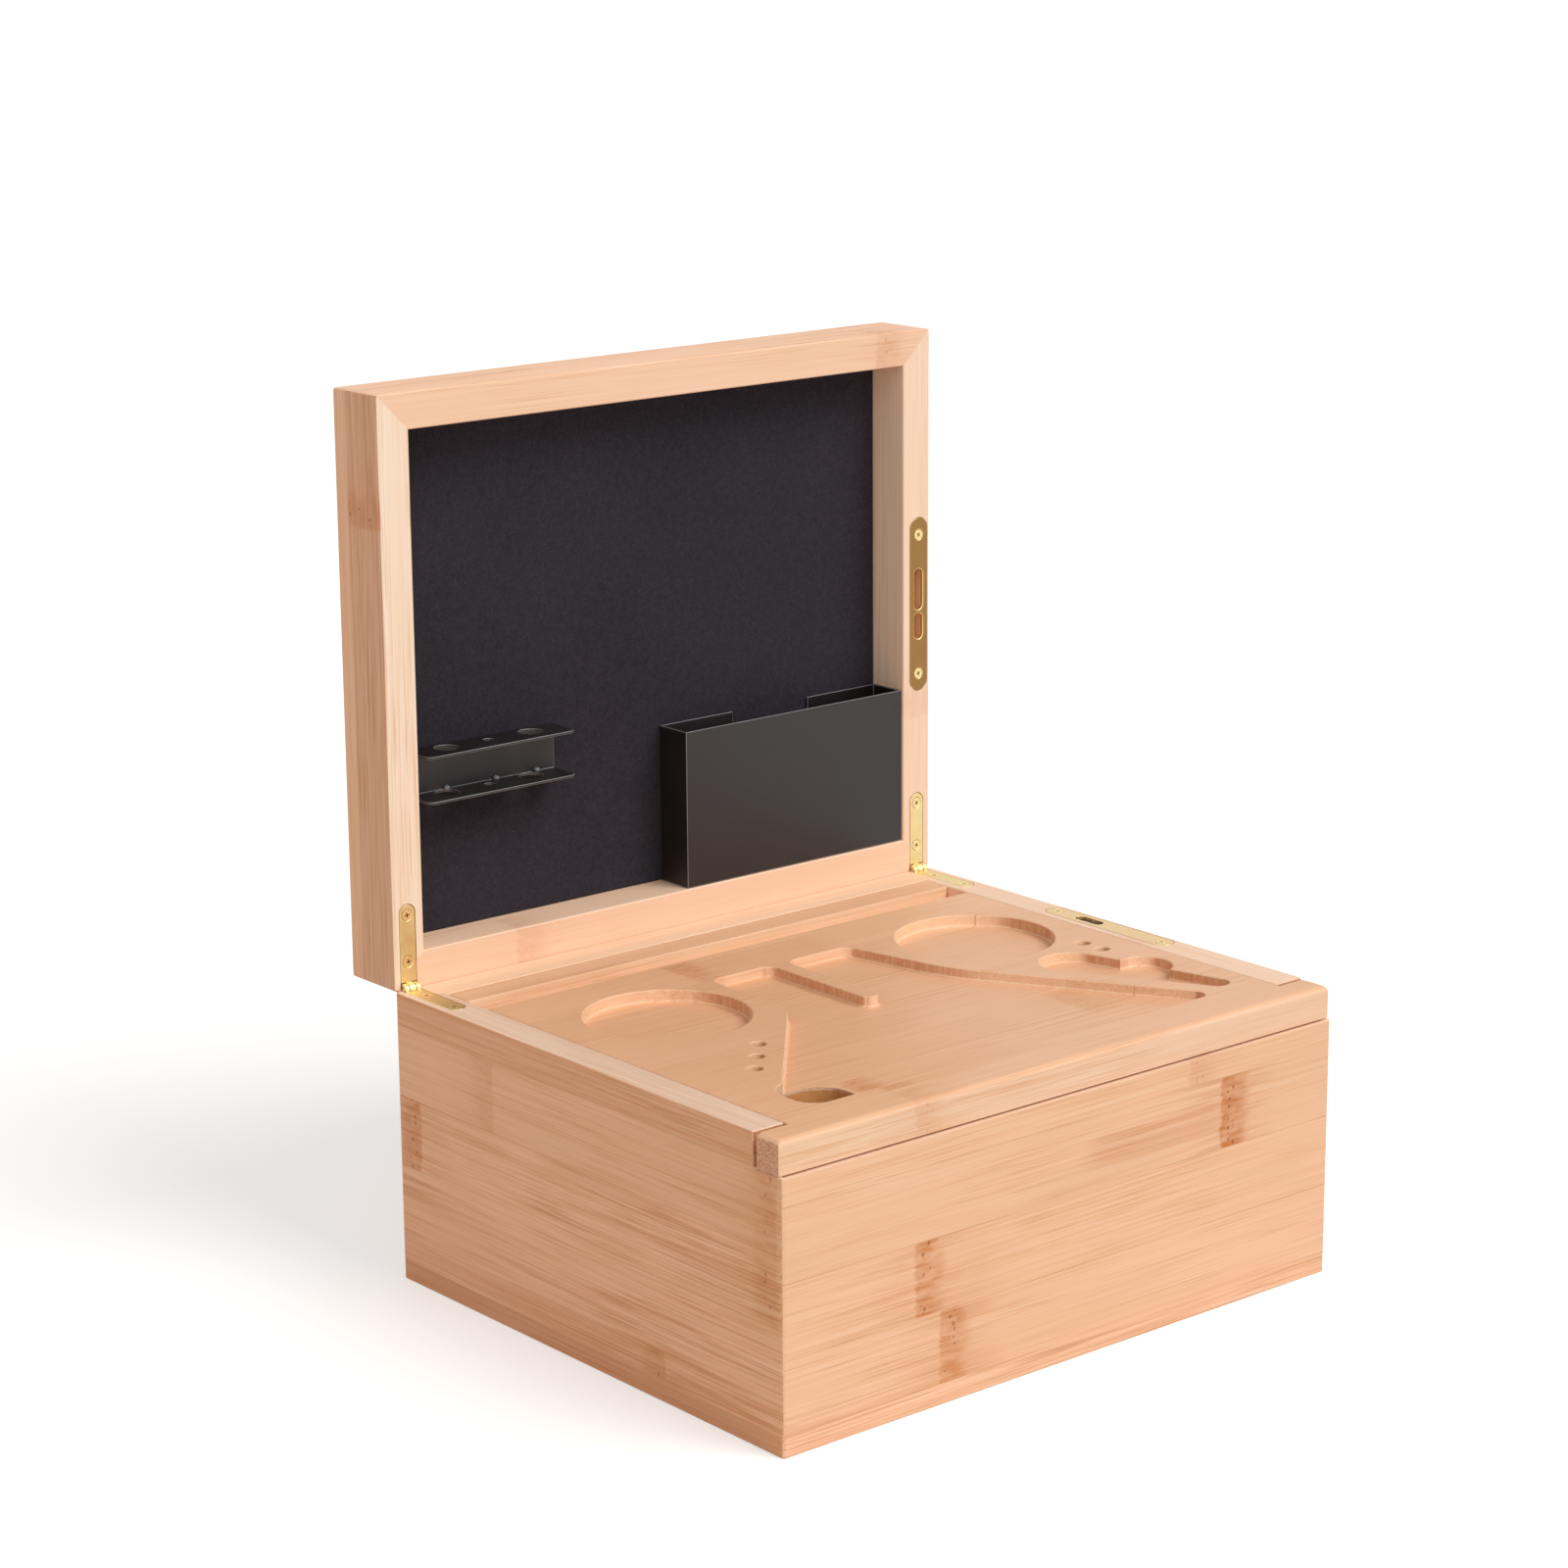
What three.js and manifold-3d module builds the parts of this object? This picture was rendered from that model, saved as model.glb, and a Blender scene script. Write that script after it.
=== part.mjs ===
// A laminated bamboo storage box with a sliding tray, a lift-up lid on two brass hinges and a box lock.
// Lengths are millimetres. X runs to the right, Y to the back and Z up; the origin is the middle of the
// underside. The lid stands open, square to the rim, and the tray is pushed home.
import * as THREE from 'three';
import { mergeVertices } from 'three/addons/utils/BufferGeometryUtils.js';
import Module from 'manifold-3d';

const wasm = await Module();
wasm.setup();

// Driving dimensions: the carcass
const boxWidth = 270;
const boxDepth = 226;
const baseHeight = 114;
const lidHeight = 28;
const wall = 14;
const bottomThickness = 8;
const lidPanelThickness = 8;
const cornerRadius = 1.5;
const lidGap = 0.5;
const lidOpenAngle = Math.PI / 2;

// Driving dimensions: clearances
const glueLine = 0.2;
const seatGap = 0.3;
const slideGap = 0.3;
const overrun = 1;
const weld = 0.0001;

// Driving dimensions: the sliding tray
const trayThickness = 12.6;
const barLift = 0.4;
const barSetback = 1.5;
const barDepth = 11.8;
const barGap = 2;
const barRound = 2.5;
const tongueWeb = 1.1;
const tongueThickness = 5;
const tongueDrop = 1.6;
const recessDepth = 4.4;
const dishDepth = 5;
const dishRadius = 31.5;
const pegHoleRadius = 3;
const pegHoleDepth = 8;
const pourHoleWidth = 28.5;
const pourHoleLength = 26;
const pourHoleCorner = 12;
const standGrooveWidth = 12;
const standGrooveDepth = 6;
const standGrooveLand = 13.2;
const fingerCorner = 5.5;
const tongueTipCorner = 3.9;
const funnelTipCorner = 5;
const funnelSpoutCorner = 9;
const funnelSlopeCorner = 22;
const funnelSideRadius = 90;
const scissorRingRadius = 13;
const scissorSideRingRadius = 11;
const scissorTipRadius = 5;

// Driving dimensions: lid lining, tube rack and pocket
const liningThickness = 1.5;
const sheetThickness = 1;
const sheetCorner = 3;
const rackLength = 69.5;
const rackHeight = 18.5;
const rackSetback = 2.1;
const rackHoleSpacing = 19.8;
const rackHoleRadius = 4.7;
const rackMiddleHoleRadius = 2;
const rackHoleMargin = 0.5;
const rackFromSide = 20;
const rackFromHinge = 68.6;
const pocketWidth = 113.4;
const pocketHeight = 63.6;
const pocketSetback = 0.9;
const pocketNotchWidth = 39.5;
const pocketNotchDepth = 20;

// Driving dimensions: hinges and screws
const pivotInset = 0.1;
const leafThickness = 1.2;
const leafWidth = 7;
const leafLength = 33;
const leafInset = 6.7;
const barrelRadius = 2.6;
const barrelPinRadius = 1.1;
const middleKnuckle = 2.8;
const knuckleGap = 0.25;
const hingeScrewFromTip = 4.1;
const hingeScrewNear = 10.7;
const screwHeadRadius = 2.2;
const screwHeadHeight = 1.3;
const screwShankRadius = 1.1;
const screwLength = 9;
const screwPoint = 2;
const screwFit = 0.2;

// Driving dimensions: lock and strike plate
const plateThickness = 1.2;
const plateWidth = 9.2;
const plateScrewFromCase = 5;
const facePlateEnd = 5;
const strikePlateEnd = 7;
const clawThickness = 2.4;
const clawBand = 3;
const clawHubRadius = 3;
const clawPinRadius = 1.3;
const clawPivotBelowRim = 7.2;
const clawPivotBack = 3;
const clawTipAngle = Math.PI / 6;
const clawTailAngle = -Math.PI * 7 / 18;
const clawWebAngle = -Math.PI * 11 / 36;
const clawSideClearance = 1;
const clawBridgeClearance = 0.6;
const clawHeadroom = 1.2;
const clawSlotBefore = 1;
const clawSlotAfter = 2.5;
const strikeBridge = 1.5;
const strikeShortOverlap = 1;
const strikeLongSlot = 17;
const caseSkin = 1;
const caseCover = 3;
const caseLength = 48;
const caseFoot = 5.7;
const keyRadius = 4.3;
const keyClearance = 1;
const keySlotWidth = 1.3;
const keySlotLength = 5;
const keySlotDepth = 2.5;
const escutcheonRim = 2.9;
const escutcheonThickness = 1;
const bushWall = 1;
const bushLength = 2;

// Places on the tray, as shares of the box's width and depth from its middle
const leftDishShare = [-0.278, 0.106];
const rightDishShare = [0.2926, 0.106];
const leftPegShares = [[-0.267, -0.111], [-0.302, -0.158], [-0.337, -0.204]];
const rightPegShares = [[0.389, -0.044], [0.389, -0.091]];
const scissorRingShare = [0.3111, -0.115];
const scissorSideRingShare = [0.3785, -0.2058];
const scissorTipShare = [0.3944, -0.3562];
const funnelShares = {
  backEdge: 0.2102,
  tongueTip: -0.0398,
  frontEdge: -0.4004,
  slopeStart: 0.0044,
  slopeEnd: -0.3319,
  bendY: -0.0044,
  firstFingerLeft: -0.1333,
  firstFingerRight: -0.0222,
  secondFingerLeft: 0.0056,
  secondFingerRight: 0.1204,
  bendX: 0.1611,
  spout: -0.3815,
  tip: 0.3593,
};

// Facets
const dishSteps = 64;
const holeSteps = 24;
const rodSteps = 20;
const arcSteps = 6;

// Places that follow from the driving dimensions
const halfWidth = boxWidth / 2;
const halfDepth = boxDepth / 2;
const innerHalfWidth = halfWidth - wall;
const innerHalfDepth = halfDepth - wall;
const front = -halfDepth;
const back = halfDepth;
const lidRim = baseHeight + lidGap;
const lidPanelUnderside = lidRim + lidHeight - lidPanelThickness;
const lidTop = lidRim + lidHeight;
const pivotY = back - pivotInset;
const pivotZ = baseHeight;
const trayBottom = baseHeight - trayThickness;
const barFront = front + barSetback;
const barBack = barFront + barDepth;
const railFront = barBack + barGap;
const frontHeight = trayBottom - barLift;
const caseCavity = clawThickness + seatGap * 2;
const caseWidth = caseCavity + caseSkin * 2;
const plateInset = caseCover + seatGap + caseWidth / 2;
const plateX = halfWidth - plateInset;
const tongueReach = wall - plateInset - caseWidth / 2 - seatGap - tongueWeb - slideGap;

// Finishes
const finishes = {
  bamboo: { color: 0xe6b88a, roughness: 0.5, metalness: 0 },
  bambooTray: { color: 0xdeac82, roughness: 0.5, metalness: 0 },
  felt: { color: 0x26222a, roughness: 0.95, metalness: 0 },
  blackSteel: { color: 0x2f2b2a, roughness: 0.42, metalness: 0.3 },
  brass: { color: 0xd9b45e, roughness: 0.28, metalness: 1 },
  steel: { color: 0x9a9a9c, roughness: 0.35, metalness: 1 },
};

// Turns a closed three.js geometry into a solid that can be joined and cut.
function solidFrom(geometry) {
  geometry.deleteAttribute('normal');
  geometry.deleteAttribute('uv');
  const merged = mergeVertices(geometry, weld);
  const corners = merged.index.array;
  const kept = [];
  for (let i = 0; i < corners.length; i += 3) {
    const [a, b, c] = [corners[i], corners[i + 1], corners[i + 2]];
    if (a !== b && b !== c && c !== a) kept.push(a, b, c);
  }
  const vertProperties = new Float32Array(merged.attributes.position.array);
  return new wasm.Manifold(new wasm.Mesh({ numProp: 3, vertProperties, triVerts: new Uint32Array(kept) }));
}

// Turns a solid back into a three.js geometry.
function geometryFrom(solid) {
  const mesh = solid.getMesh();
  const geometry = new THREE.BufferGeometry();
  geometry.setAttribute('position', new THREE.BufferAttribute(new Float32Array(mesh.vertProperties), 3));
  geometry.setIndex(new THREE.BufferAttribute(new Uint32Array(mesh.triVerts), 1));
  geometry.computeVertexNormals();
  return geometry;
}

function piece(name, solid, finish) {
  const mesh = new THREE.Mesh(geometryFrom(solid), new THREE.MeshStandardMaterial(finishes[finish]));
  mesh.name = name;
  return mesh;
}

function block([x0, x1], [y0, y1], [z0, z1]) {
  const geometry = new THREE.BoxGeometry(x1 - x0, y1 - y0, z1 - z0);
  geometry.translate((x0 + x1) / 2, (y0 + y1) / 2, (z0 + z1) / 2);
  return solidFrom(geometry);
}

// A range of the given length around a middle, with something added at both ends.
function around(middle, length, extra = 0) {
  return [middle - length / 2 - extra, middle + length / 2 + extra];
}

// A plan outline raised from one height to another.
function upright(shape, [z0, z1], curveSegments = arcSteps) {
  const geometry = new THREE.ExtrudeGeometry(shape, { depth: z1 - z0, bevelEnabled: false, curveSegments });
  geometry.translate(0, 0, z0);
  return solidFrom(geometry);
}

// A side profile drawn in Y and Z and drawn out along X.
function acrossX(shape, [x0, x1], curveSegments = arcSteps) {
  const geometry = new THREE.ExtrudeGeometry(shape, { depth: x1 - x0, bevelEnabled: false, curveSegments });
  const axes = [new THREE.Vector3(0, 1, 0), new THREE.Vector3(0, 0, 1), new THREE.Vector3(1, 0, 0)];
  geometry.applyMatrix4(new THREE.Matrix4().makeBasis(...axes));
  geometry.translate(x0, 0, 0);
  return solidFrom(geometry);
}

// A front profile drawn in X and Z and drawn out along Y.
function alongY(shape, [y0, y1], curveSegments = arcSteps) {
  const geometry = new THREE.ExtrudeGeometry(shape, { depth: y1 - y0, bevelEnabled: false, curveSegments });
  geometry.rotateX(Math.PI / 2);
  geometry.translate(0, y1, 0);
  return solidFrom(geometry);
}

function rodAlongX(radius, [x0, x1], y, z, steps = rodSteps) {
  const geometry = new THREE.CylinderGeometry(radius, radius, x1 - x0, steps);
  geometry.rotateZ(-Math.PI / 2);
  geometry.translate((x0 + x1) / 2, y, z);
  return solidFrom(geometry);
}

function rodAlongZ(radius, [z0, z1], x, y, steps = holeSteps) {
  const geometry = new THREE.CylinderGeometry(radius, radius, z1 - z0, steps);
  geometry.rotateX(Math.PI / 2);
  geometry.translate(x, y, (z0 + z1) / 2);
  return solidFrom(geometry);
}

// An outline through corners [x, y, radius] that run anticlockwise, each rounded by an arc that meets both
// sides. A rounding that its sides can't hold is limited to what they can.
function roundedOutline(corners) {
  const points = corners.map(([x, y]) => new THREE.Vector2(x, y));
  const count = points.length;
  const bends = points.map((point, i) => {
    const before = points[(i + count - 1) % count].clone().sub(point);
    const after = points[(i + 1) % count].clone().sub(point);
    const turn = Math.PI - Math.acos(before.dot(after) / before.length() / after.length());
    return { before, after, turn, tangent: corners[i][2] * Math.tan(turn / 2) };
  });
  for (let i = 0; i < count; i += 1) {
    const next = bends[(i + 1) % count];
    const used = bends[i].tangent + next.tangent;
    const room = Math.min(1, bends[i].after.length() / used);
    bends[i].tangent *= room;
    next.tangent *= room;
  }
  const shape = new THREE.Shape();
  bends.forEach(({ before, after, turn, tangent }, i) => {
    const radius = tangent / Math.tan(turn / 2);
    const inward = before.clone().normalize().add(after.clone().normalize()).normalize();
    const middle = inward.multiplyScalar(radius / Math.cos(turn / 2)).add(points[i]);
    const start = before.clone().setLength(tangent).add(points[i]).sub(middle);
    const end = after.clone().setLength(tangent).add(points[i]).sub(middle);
    const clockwise = before.cross(after) > 0;
    shape.absarc(middle.x, middle.y, radius, start.angle(), end.angle(), clockwise);
  });
  shape.closePath();
  return shape;
}

function roundedRectangle([x0, x1], [y0, y1], radius) {
  return roundedOutline([[x0, y0, radius], [x1, y0, radius], [x1, y1, radius], [x0, y1, radius]]);
}

// The outline round two circles and the two straight lines that touch both.
function taperedOutline(x1, y1, r1, x2, y2, r2) {
  const heading = Math.atan2(y2 - y1, x2 - x1);
  const lean = Math.acos((r1 - r2) / Math.hypot(x2 - x1, y2 - y1));
  const shape = new THREE.Shape();
  shape.absarc(x1, y1, r1, heading + lean, heading - lean + 2 * Math.PI, false);
  shape.absarc(x2, y2, r2, heading - lean, heading + lean, false);
  shape.closePath();
  return shape;
}

// Four boards around an opening, mitred at the corners, from one height to another.
function mitredBoards(heights) {
  const ring = roundedRectangle([-halfWidth, halfWidth], [-halfDepth, halfDepth], cornerRadius);
  const hole = roundedRectangle([-innerHalfWidth, innerHalfWidth], [-innerHalfDepth, innerHalfDepth], 0);
  const frame = upright(ring, heights).subtract(upright(hole, [heights[0] - overrun, heights[1] + overrun]));
  const outward = halfDepth + overrun;
  const inward = innerHalfDepth - overrun;
  const spread = halfWidth - halfDepth;
  const slip = glueLine / Math.SQRT2;
  const cheek = new THREE.Shape();
  cheek.moveTo(-outward - spread, -outward - slip);
  cheek.lineTo(outward + spread, -outward - slip);
  cheek.lineTo(inward + spread, -inward - slip);
  cheek.lineTo(-inward - spread, -inward - slip);
  cheek.closePath();
  const end = new THREE.Shape();
  end.moveTo(halfWidth + overrun + slip, -outward);
  end.lineTo(halfWidth + overrun + slip, outward);
  end.lineTo(innerHalfWidth - overrun + slip, inward);
  end.lineTo(innerHalfWidth - overrun + slip, -inward);
  end.closePath();
  const clear = [heights[0] - overrun, heights[1] + overrun];
  const halfTurn = [0, 0, 180];
  const frontWedge = upright(cheek, clear);
  const rightWedge = upright(end, clear);
  return {
    front: frame.intersect(frontWedge),
    back: frame.intersect(frontWedge.rotate(halfTurn)),
    right: frame.intersect(rightWedge),
    left: frame.intersect(rightWedge.rotate(halfTurn)),
  };
}

// A countersunk wood screw with its head's face at height zero and its point down. The extra radius gives
// the hole for it.
function screw(extra = 0) {
  const reach = extra ? overrun : 0;
  const profile = [
    [0, -screwLength - reach],
    [screwShankRadius + extra, -screwLength + screwPoint],
    [screwShankRadius + extra, -screwHeadHeight],
    [screwHeadRadius + extra, 0],
    [screwHeadRadius + extra, reach],
    [0, reach],
  ];
  const points = profile.filter(([, z], i) => i !== 4 || z > 0).map(([r, z]) => new THREE.Vector2(r, z));
  const geometry = new THREE.LatheGeometry(points, rodSteps);
  geometry.rotateX(Math.PI / 2);
  return solidFrom(geometry);
}

// Screws stand in the base with their heads up, and in the closed lid with their heads down.
function screwInBase(x, y, extra) {
  return screw(extra).translate([x, y, baseHeight]);
}

function screwInLid(x, y, extra) {
  return screw(extra).rotate([180, 0, 0]).translate([x, y, lidRim]);
}

function cutAll(solid, cutters) {
  return cutters.reduce((rest, cutter) => rest.subtract(cutter), solid);
}

// Hinges: brass leaves let into the side boards, knuckled round a pin at the box's top back edge, so that
// the open lid stands on its back rail with no gap to look through
const hingeScrewYs = [pivotY - leafLength + hingeScrewFromTip, pivotY - hingeScrewNear];

function hingeX(side) {
  return side * (halfWidth - leafInset);
}

// The room that one hinge needs in the base and in the lid, at the same place.
function hingeRoom(side) {
  const x = around(hingeX(side), leafWidth, seatGap);
  const y = [pivotY - leafLength - seatGap, pivotY + overrun];
  const leaves = [baseHeight - leafThickness - seatGap, lidRim + leafThickness + seatGap];
  return [
    upright(roundedRectangle(x, y, leafWidth / 2), leaves),
    block(x, [pivotY - leafWidth / 2, pivotY + overrun], leaves),
    rodAlongX(barrelRadius + seatGap, x, pivotY, pivotZ),
  ];
}

function hingeLeaf(side, heights) {
  const x = around(hingeX(side), leafWidth);
  const plate = upright(roundedRectangle(x, [pivotY - leafLength, pivotY], leafWidth / 2), heights);
  const root = block(x, [pivotY - leafWidth / 2, pivotY], heights);
  return plate.add(root).add(rodAlongX(barrelRadius, x, pivotY, pivotZ));
}

// A box round the barrel over part of its length, which frees the other leaf's knuckle.
function knuckleSlot(x) {
  const reach = barrelRadius + knuckleGap;
  return block(x, [pivotY - reach, pivotY + reach], [pivotZ - reach, pivotZ + reach]);
}

function hingeBaseLeaf(side) {
  const middle = around(hingeX(side), middleKnuckle, knuckleGap);
  const solid = hingeLeaf(side, [baseHeight - leafThickness, baseHeight]);
  const holes = hingeScrewYs.map((y) => screwInBase(hingeX(side), y, screwFit));
  const bore = rodAlongX(barrelPinRadius + screwFit, around(hingeX(side), leafWidth, overrun), pivotY, pivotZ);
  return cutAll(solid, [knuckleSlot(middle), bore, ...holes]);
}

function hingeLidLeaf(side) {
  const outer = around(hingeX(side), leafWidth, overrun);
  const inner = around(hingeX(side), middleKnuckle);
  const solid = hingeLeaf(side, [lidRim, lidRim + leafThickness]);
  const slots = [knuckleSlot([outer[0], inner[0]]), knuckleSlot([inner[1], outer[1]])];
  const holes = hingeScrewYs.map((y) => screwInLid(hingeX(side), y, screwFit));
  const bore = rodAlongX(barrelPinRadius + screwFit, outer, pivotY, pivotZ);
  return cutAll(solid, [...slots, bore, ...holes]);
}

function hingePin(side) {
  return rodAlongX(barrelPinRadius, around(hingeX(side), leafWidth), pivotY, pivotZ);
}

// Lock: a case in the right-hand board, with a hooked claw that swings up through its face plate
const clawPivotZ = baseHeight - clawPivotBelowRim;
const clawInnerRadius = clawPivotBelowRim + lidGap + plateThickness + clawBridgeClearance;
const clawOuterRadius = clawInnerRadius + clawBand;
const keyZ = clawPivotZ - clawOuterRadius - keyClearance - keyRadius;
const caseTop = baseHeight - plateThickness - seatGap;
const caseBottom = keyZ - keyRadius - caseFoot;
const plateScrewOffset = caseLength / 2 + plateScrewFromCase;
const plateScrewYs = [-plateScrewOffset, plateScrewOffset];
const facePlateLength = (plateScrewOffset + facePlateEnd) * 2;
const strikePlateLength = (plateScrewOffset + strikePlateEnd) * 2;
const clawSlotWidth = clawThickness + clawSideClearance * 2;
const clawSlotYs = [clawPivotBack + clawSlotBefore, clawPivotBack + clawOuterRadius + clawSlotAfter];
const strikeSlotWidth = clawSlotWidth + screwFit;
const strikeShortYs = [clawPivotBack + strikeBridge / 2, clawPivotBack + clawOuterRadius - strikeShortOverlap];
const strikeLongYs = [clawPivotBack - strikeBridge / 2 - strikeLongSlot, clawPivotBack - strikeBridge / 2];

function platePlan(length, extra = 0) {
  const radius = plateWidth / 2 + extra;
  return roundedRectangle(around(plateX, plateWidth, extra), around(0, length, extra), radius);
}

function slotPlan(width, y) {
  return roundedRectangle(around(plateX, width), y, width / 2);
}

function lockFacePlate() {
  const plate = upright(platePlan(facePlateLength), [baseHeight - plateThickness, baseHeight]);
  const through = [baseHeight - plateThickness - overrun, baseHeight + overrun];
  const slot = upright(slotPlan(clawSlotWidth, clawSlotYs), through);
  return cutAll(plate, [slot, ...plateScrewYs.map((y) => screwInBase(plateX, y, screwFit))]);
}

// The strike has a short and a long slot with a narrow bridge between them, which the claw hooks over.
function strikeSlots(heights) {
  return [strikeShortYs, strikeLongYs].map((y) => upright(slotPlan(strikeSlotWidth, y), heights));
}

function strikePlate() {
  const plate = upright(platePlan(strikePlateLength), [lidRim, lidRim + plateThickness]);
  const slots = strikeSlots([lidRim - overrun, lidRim + plateThickness + overrun]);
  return cutAll(plate, [...slots, ...plateScrewYs.map((y) => screwInLid(plateX, y, screwFit))]);
}

// A ring sector with a web to its hub, all turning about the pivot.
function lockClaw() {
  const [y, z] = [clawPivotBack, clawPivotZ];
  const shape = new THREE.Shape();
  shape.absarc(y, z, clawOuterRadius, clawTailAngle, clawTipAngle, false);
  shape.absarc(y, z, clawInnerRadius, clawTipAngle, clawWebAngle, true);
  shape.absarc(y, z, clawHubRadius, clawWebAngle, clawTailAngle, false);
  shape.closePath();
  const bore = new THREE.Path();
  bore.absarc(y, z, clawPinRadius + screwFit, 0, 2 * Math.PI, true);
  shape.holes.push(bore);
  return acrossX(shape, around(plateX, clawThickness), rodSteps);
}

function lockClawPin() {
  return rodAlongX(clawPinRadius, around(plateX, caseWidth), clawPivotBack, clawPivotZ);
}

function lockCase() {
  const body = block(around(plateX, caseWidth), around(0, caseLength), [caseBottom, caseTop]);
  const sweep = clawOuterRadius + seatGap;
  const cavityX = around(plateX, caseCavity);
  const clawRoom = block(
    cavityX,
    [clawPivotBack - clawHubRadius - seatGap, clawPivotBack + sweep],
    [clawPivotZ - sweep, caseTop + overrun],
  );
  const keyRoom = rodAlongX(keyRadius + seatGap, [cavityX[0], halfWidth], 0, keyZ, holeSteps);
  const pinBore = rodAlongX(clawPinRadius + screwFit, around(plateX, caseWidth, overrun), clawPivotBack, clawPivotZ);
  return cutAll(body, [clawRoom, keyRoom, pinBore]);
}

const bushRadius = keyRadius + seatGap + bushWall;

function keyCylinder() {
  const inner = plateX - caseCavity / 2 + seatGap;
  const face = halfWidth + escutcheonThickness / 2;
  const body = rodAlongX(keyRadius, [inner, face], 0, keyZ, holeSteps);
  const slot = block([face - keySlotDepth, face + overrun], around(0, keySlotWidth), around(keyZ, keySlotLength));
  return body.subtract(slot);
}

// A thin round flange on the board's outer face with a short bush inside the hole.
function keyholeEscutcheon() {
  const bore = keyRadius + seatGap;
  const escutcheonRadius = bushRadius + escutcheonRim;
  const profile = [
    [bore, -bushLength],
    [bushRadius, -bushLength],
    [bushRadius, 0],
    [escutcheonRadius, 0],
    [escutcheonRadius, escutcheonThickness / 2],
    [escutcheonRadius - escutcheonThickness / 2, escutcheonThickness],
    [bore, escutcheonThickness],
    [bore, -bushLength],
  ];
  const geometry = new THREE.LatheGeometry(profile.map(([r, h]) => new THREE.Vector2(r, h)), holeSteps);
  geometry.rotateZ(-Math.PI / 2);
  geometry.translate(halfWidth, 0, keyZ);
  return solidFrom(geometry);
}

// What the lock needs cut out of the right-hand board.
function lockRoom() {
  const caseRoom = block(
    around(plateX, caseWidth, seatGap),
    around(0, caseLength, seatGap),
    [caseBottom - seatGap, baseHeight + overrun],
  );
  const plateRoom = upright(
    platePlan(facePlateLength, seatGap),
    [baseHeight - plateThickness - seatGap, baseHeight + overrun],
  );
  const keyhole = rodAlongX(bushRadius + seatGap, [plateX, halfWidth + overrun], 0, keyZ, holeSteps);
  return [caseRoom, plateRoom, keyhole, ...plateScrewYs.map((y) => screwInBase(plateX, y, screwFit))];
}

function strikeRoom() {
  const plateRoom = upright(
    platePlan(strikePlateLength, seatGap),
    [lidRim - overrun, lidRim + plateThickness + seatGap],
  );
  const clawRoom = block(
    around(plateX, strikeSlotWidth, seatGap),
    [strikeLongYs[0], strikeShortYs[1]],
    [lidRim, clawPivotZ + clawOuterRadius + clawHeadroom],
  );
  return [plateRoom, clawRoom, ...plateScrewYs.map((y) => screwInLid(plateX, y, screwFit))];
}

// The base: a bottom panel and four mitred boards. The side boards are grooved for the tray and notched
// in front for its bar.
function basePanels() {
  const boards = mitredBoards([bottomThickness + glueLine, baseHeight]);
  const aboveFront = block(
    [-halfWidth - overrun, halfWidth + overrun],
    [front - overrun, railFront],
    [frontHeight, baseHeight + overrun],
  );
  const tongueBottom = trayBottom + tongueDrop;
  const groove = block(
    [-innerHalfWidth - tongueReach - slideGap, innerHalfWidth + tongueReach + slideGap],
    [front, innerHalfDepth],
    [tongueBottom - slideGap, tongueBottom + tongueThickness + slideGap],
  );
  const hinges = [...hingeRoom(-1), ...hingeRoom(1)];
  const hingeHoles = [-1, 1].flatMap((side) => hingeScrewYs.map((y) => screwInBase(hingeX(side), y, screwFit)));
  const sideCuts = [aboveFront, groove, ...hinges, ...hingeHoles];
  const underside = roundedRectangle([-halfWidth, halfWidth], [-halfDepth, halfDepth], cornerRadius);
  return [
    piece('base_bottom_panel', upright(underside, [0, bottomThickness]), 'bamboo'),
    piece('base_front_panel', boards.front.subtract(aboveFront), 'bamboo'),
    piece('base_back_panel', cutAll(boards.back, [...hinges, ...hingeHoles]), 'bamboo'),
    piece('base_left_panel', cutAll(boards.left, sideCuts), 'bamboo'),
    piece('base_right_panel', cutAll(boards.right, [...sideCuts, ...lockRoom()]), 'bamboo'),
  ];
}

// The tray: one board with a full-width bar in front, a tongue along each side and routed pockets.
function onTray([shareX, shareY]) {
  return [shareX * boxWidth, shareY * boxDepth];
}

function trayBlank() {
  const bar = new THREE.Shape();
  bar.moveTo(barBack, trayBottom);
  bar.lineTo(barBack, baseHeight);
  bar.lineTo(barFront + barRound, baseHeight);
  bar.absarc(barFront + barRound, baseHeight - barRound, barRound, Math.PI / 2, Math.PI, false);
  bar.lineTo(barFront, trayBottom);
  bar.closePath();
  const rear = innerHalfDepth - slideGap;
  const boardHalf = innerHalfWidth - slideGap;
  const tongueHalf = innerHalfWidth + tongueReach;
  const tongueBottom = trayBottom + tongueDrop;
  const board = block([-boardHalf, boardHalf], [barBack, rear], [trayBottom, baseHeight]);
  const tongues = block([-tongueHalf, tongueHalf], [barBack, rear], [tongueBottom, tongueBottom + tongueThickness]);
  const barFace = roundedOutline([
    [-halfWidth, trayBottom, 0],
    [halfWidth, trayBottom, 0],
    [halfWidth, baseHeight, barRound],
    [-halfWidth, baseHeight, barRound],
  ]);
  const rounded = acrossX(bar, [-halfWidth, halfWidth]).intersect(alongY(barFace, [front, innerHalfDepth]));
  return rounded.add(board).add(tongues);
}

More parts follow.
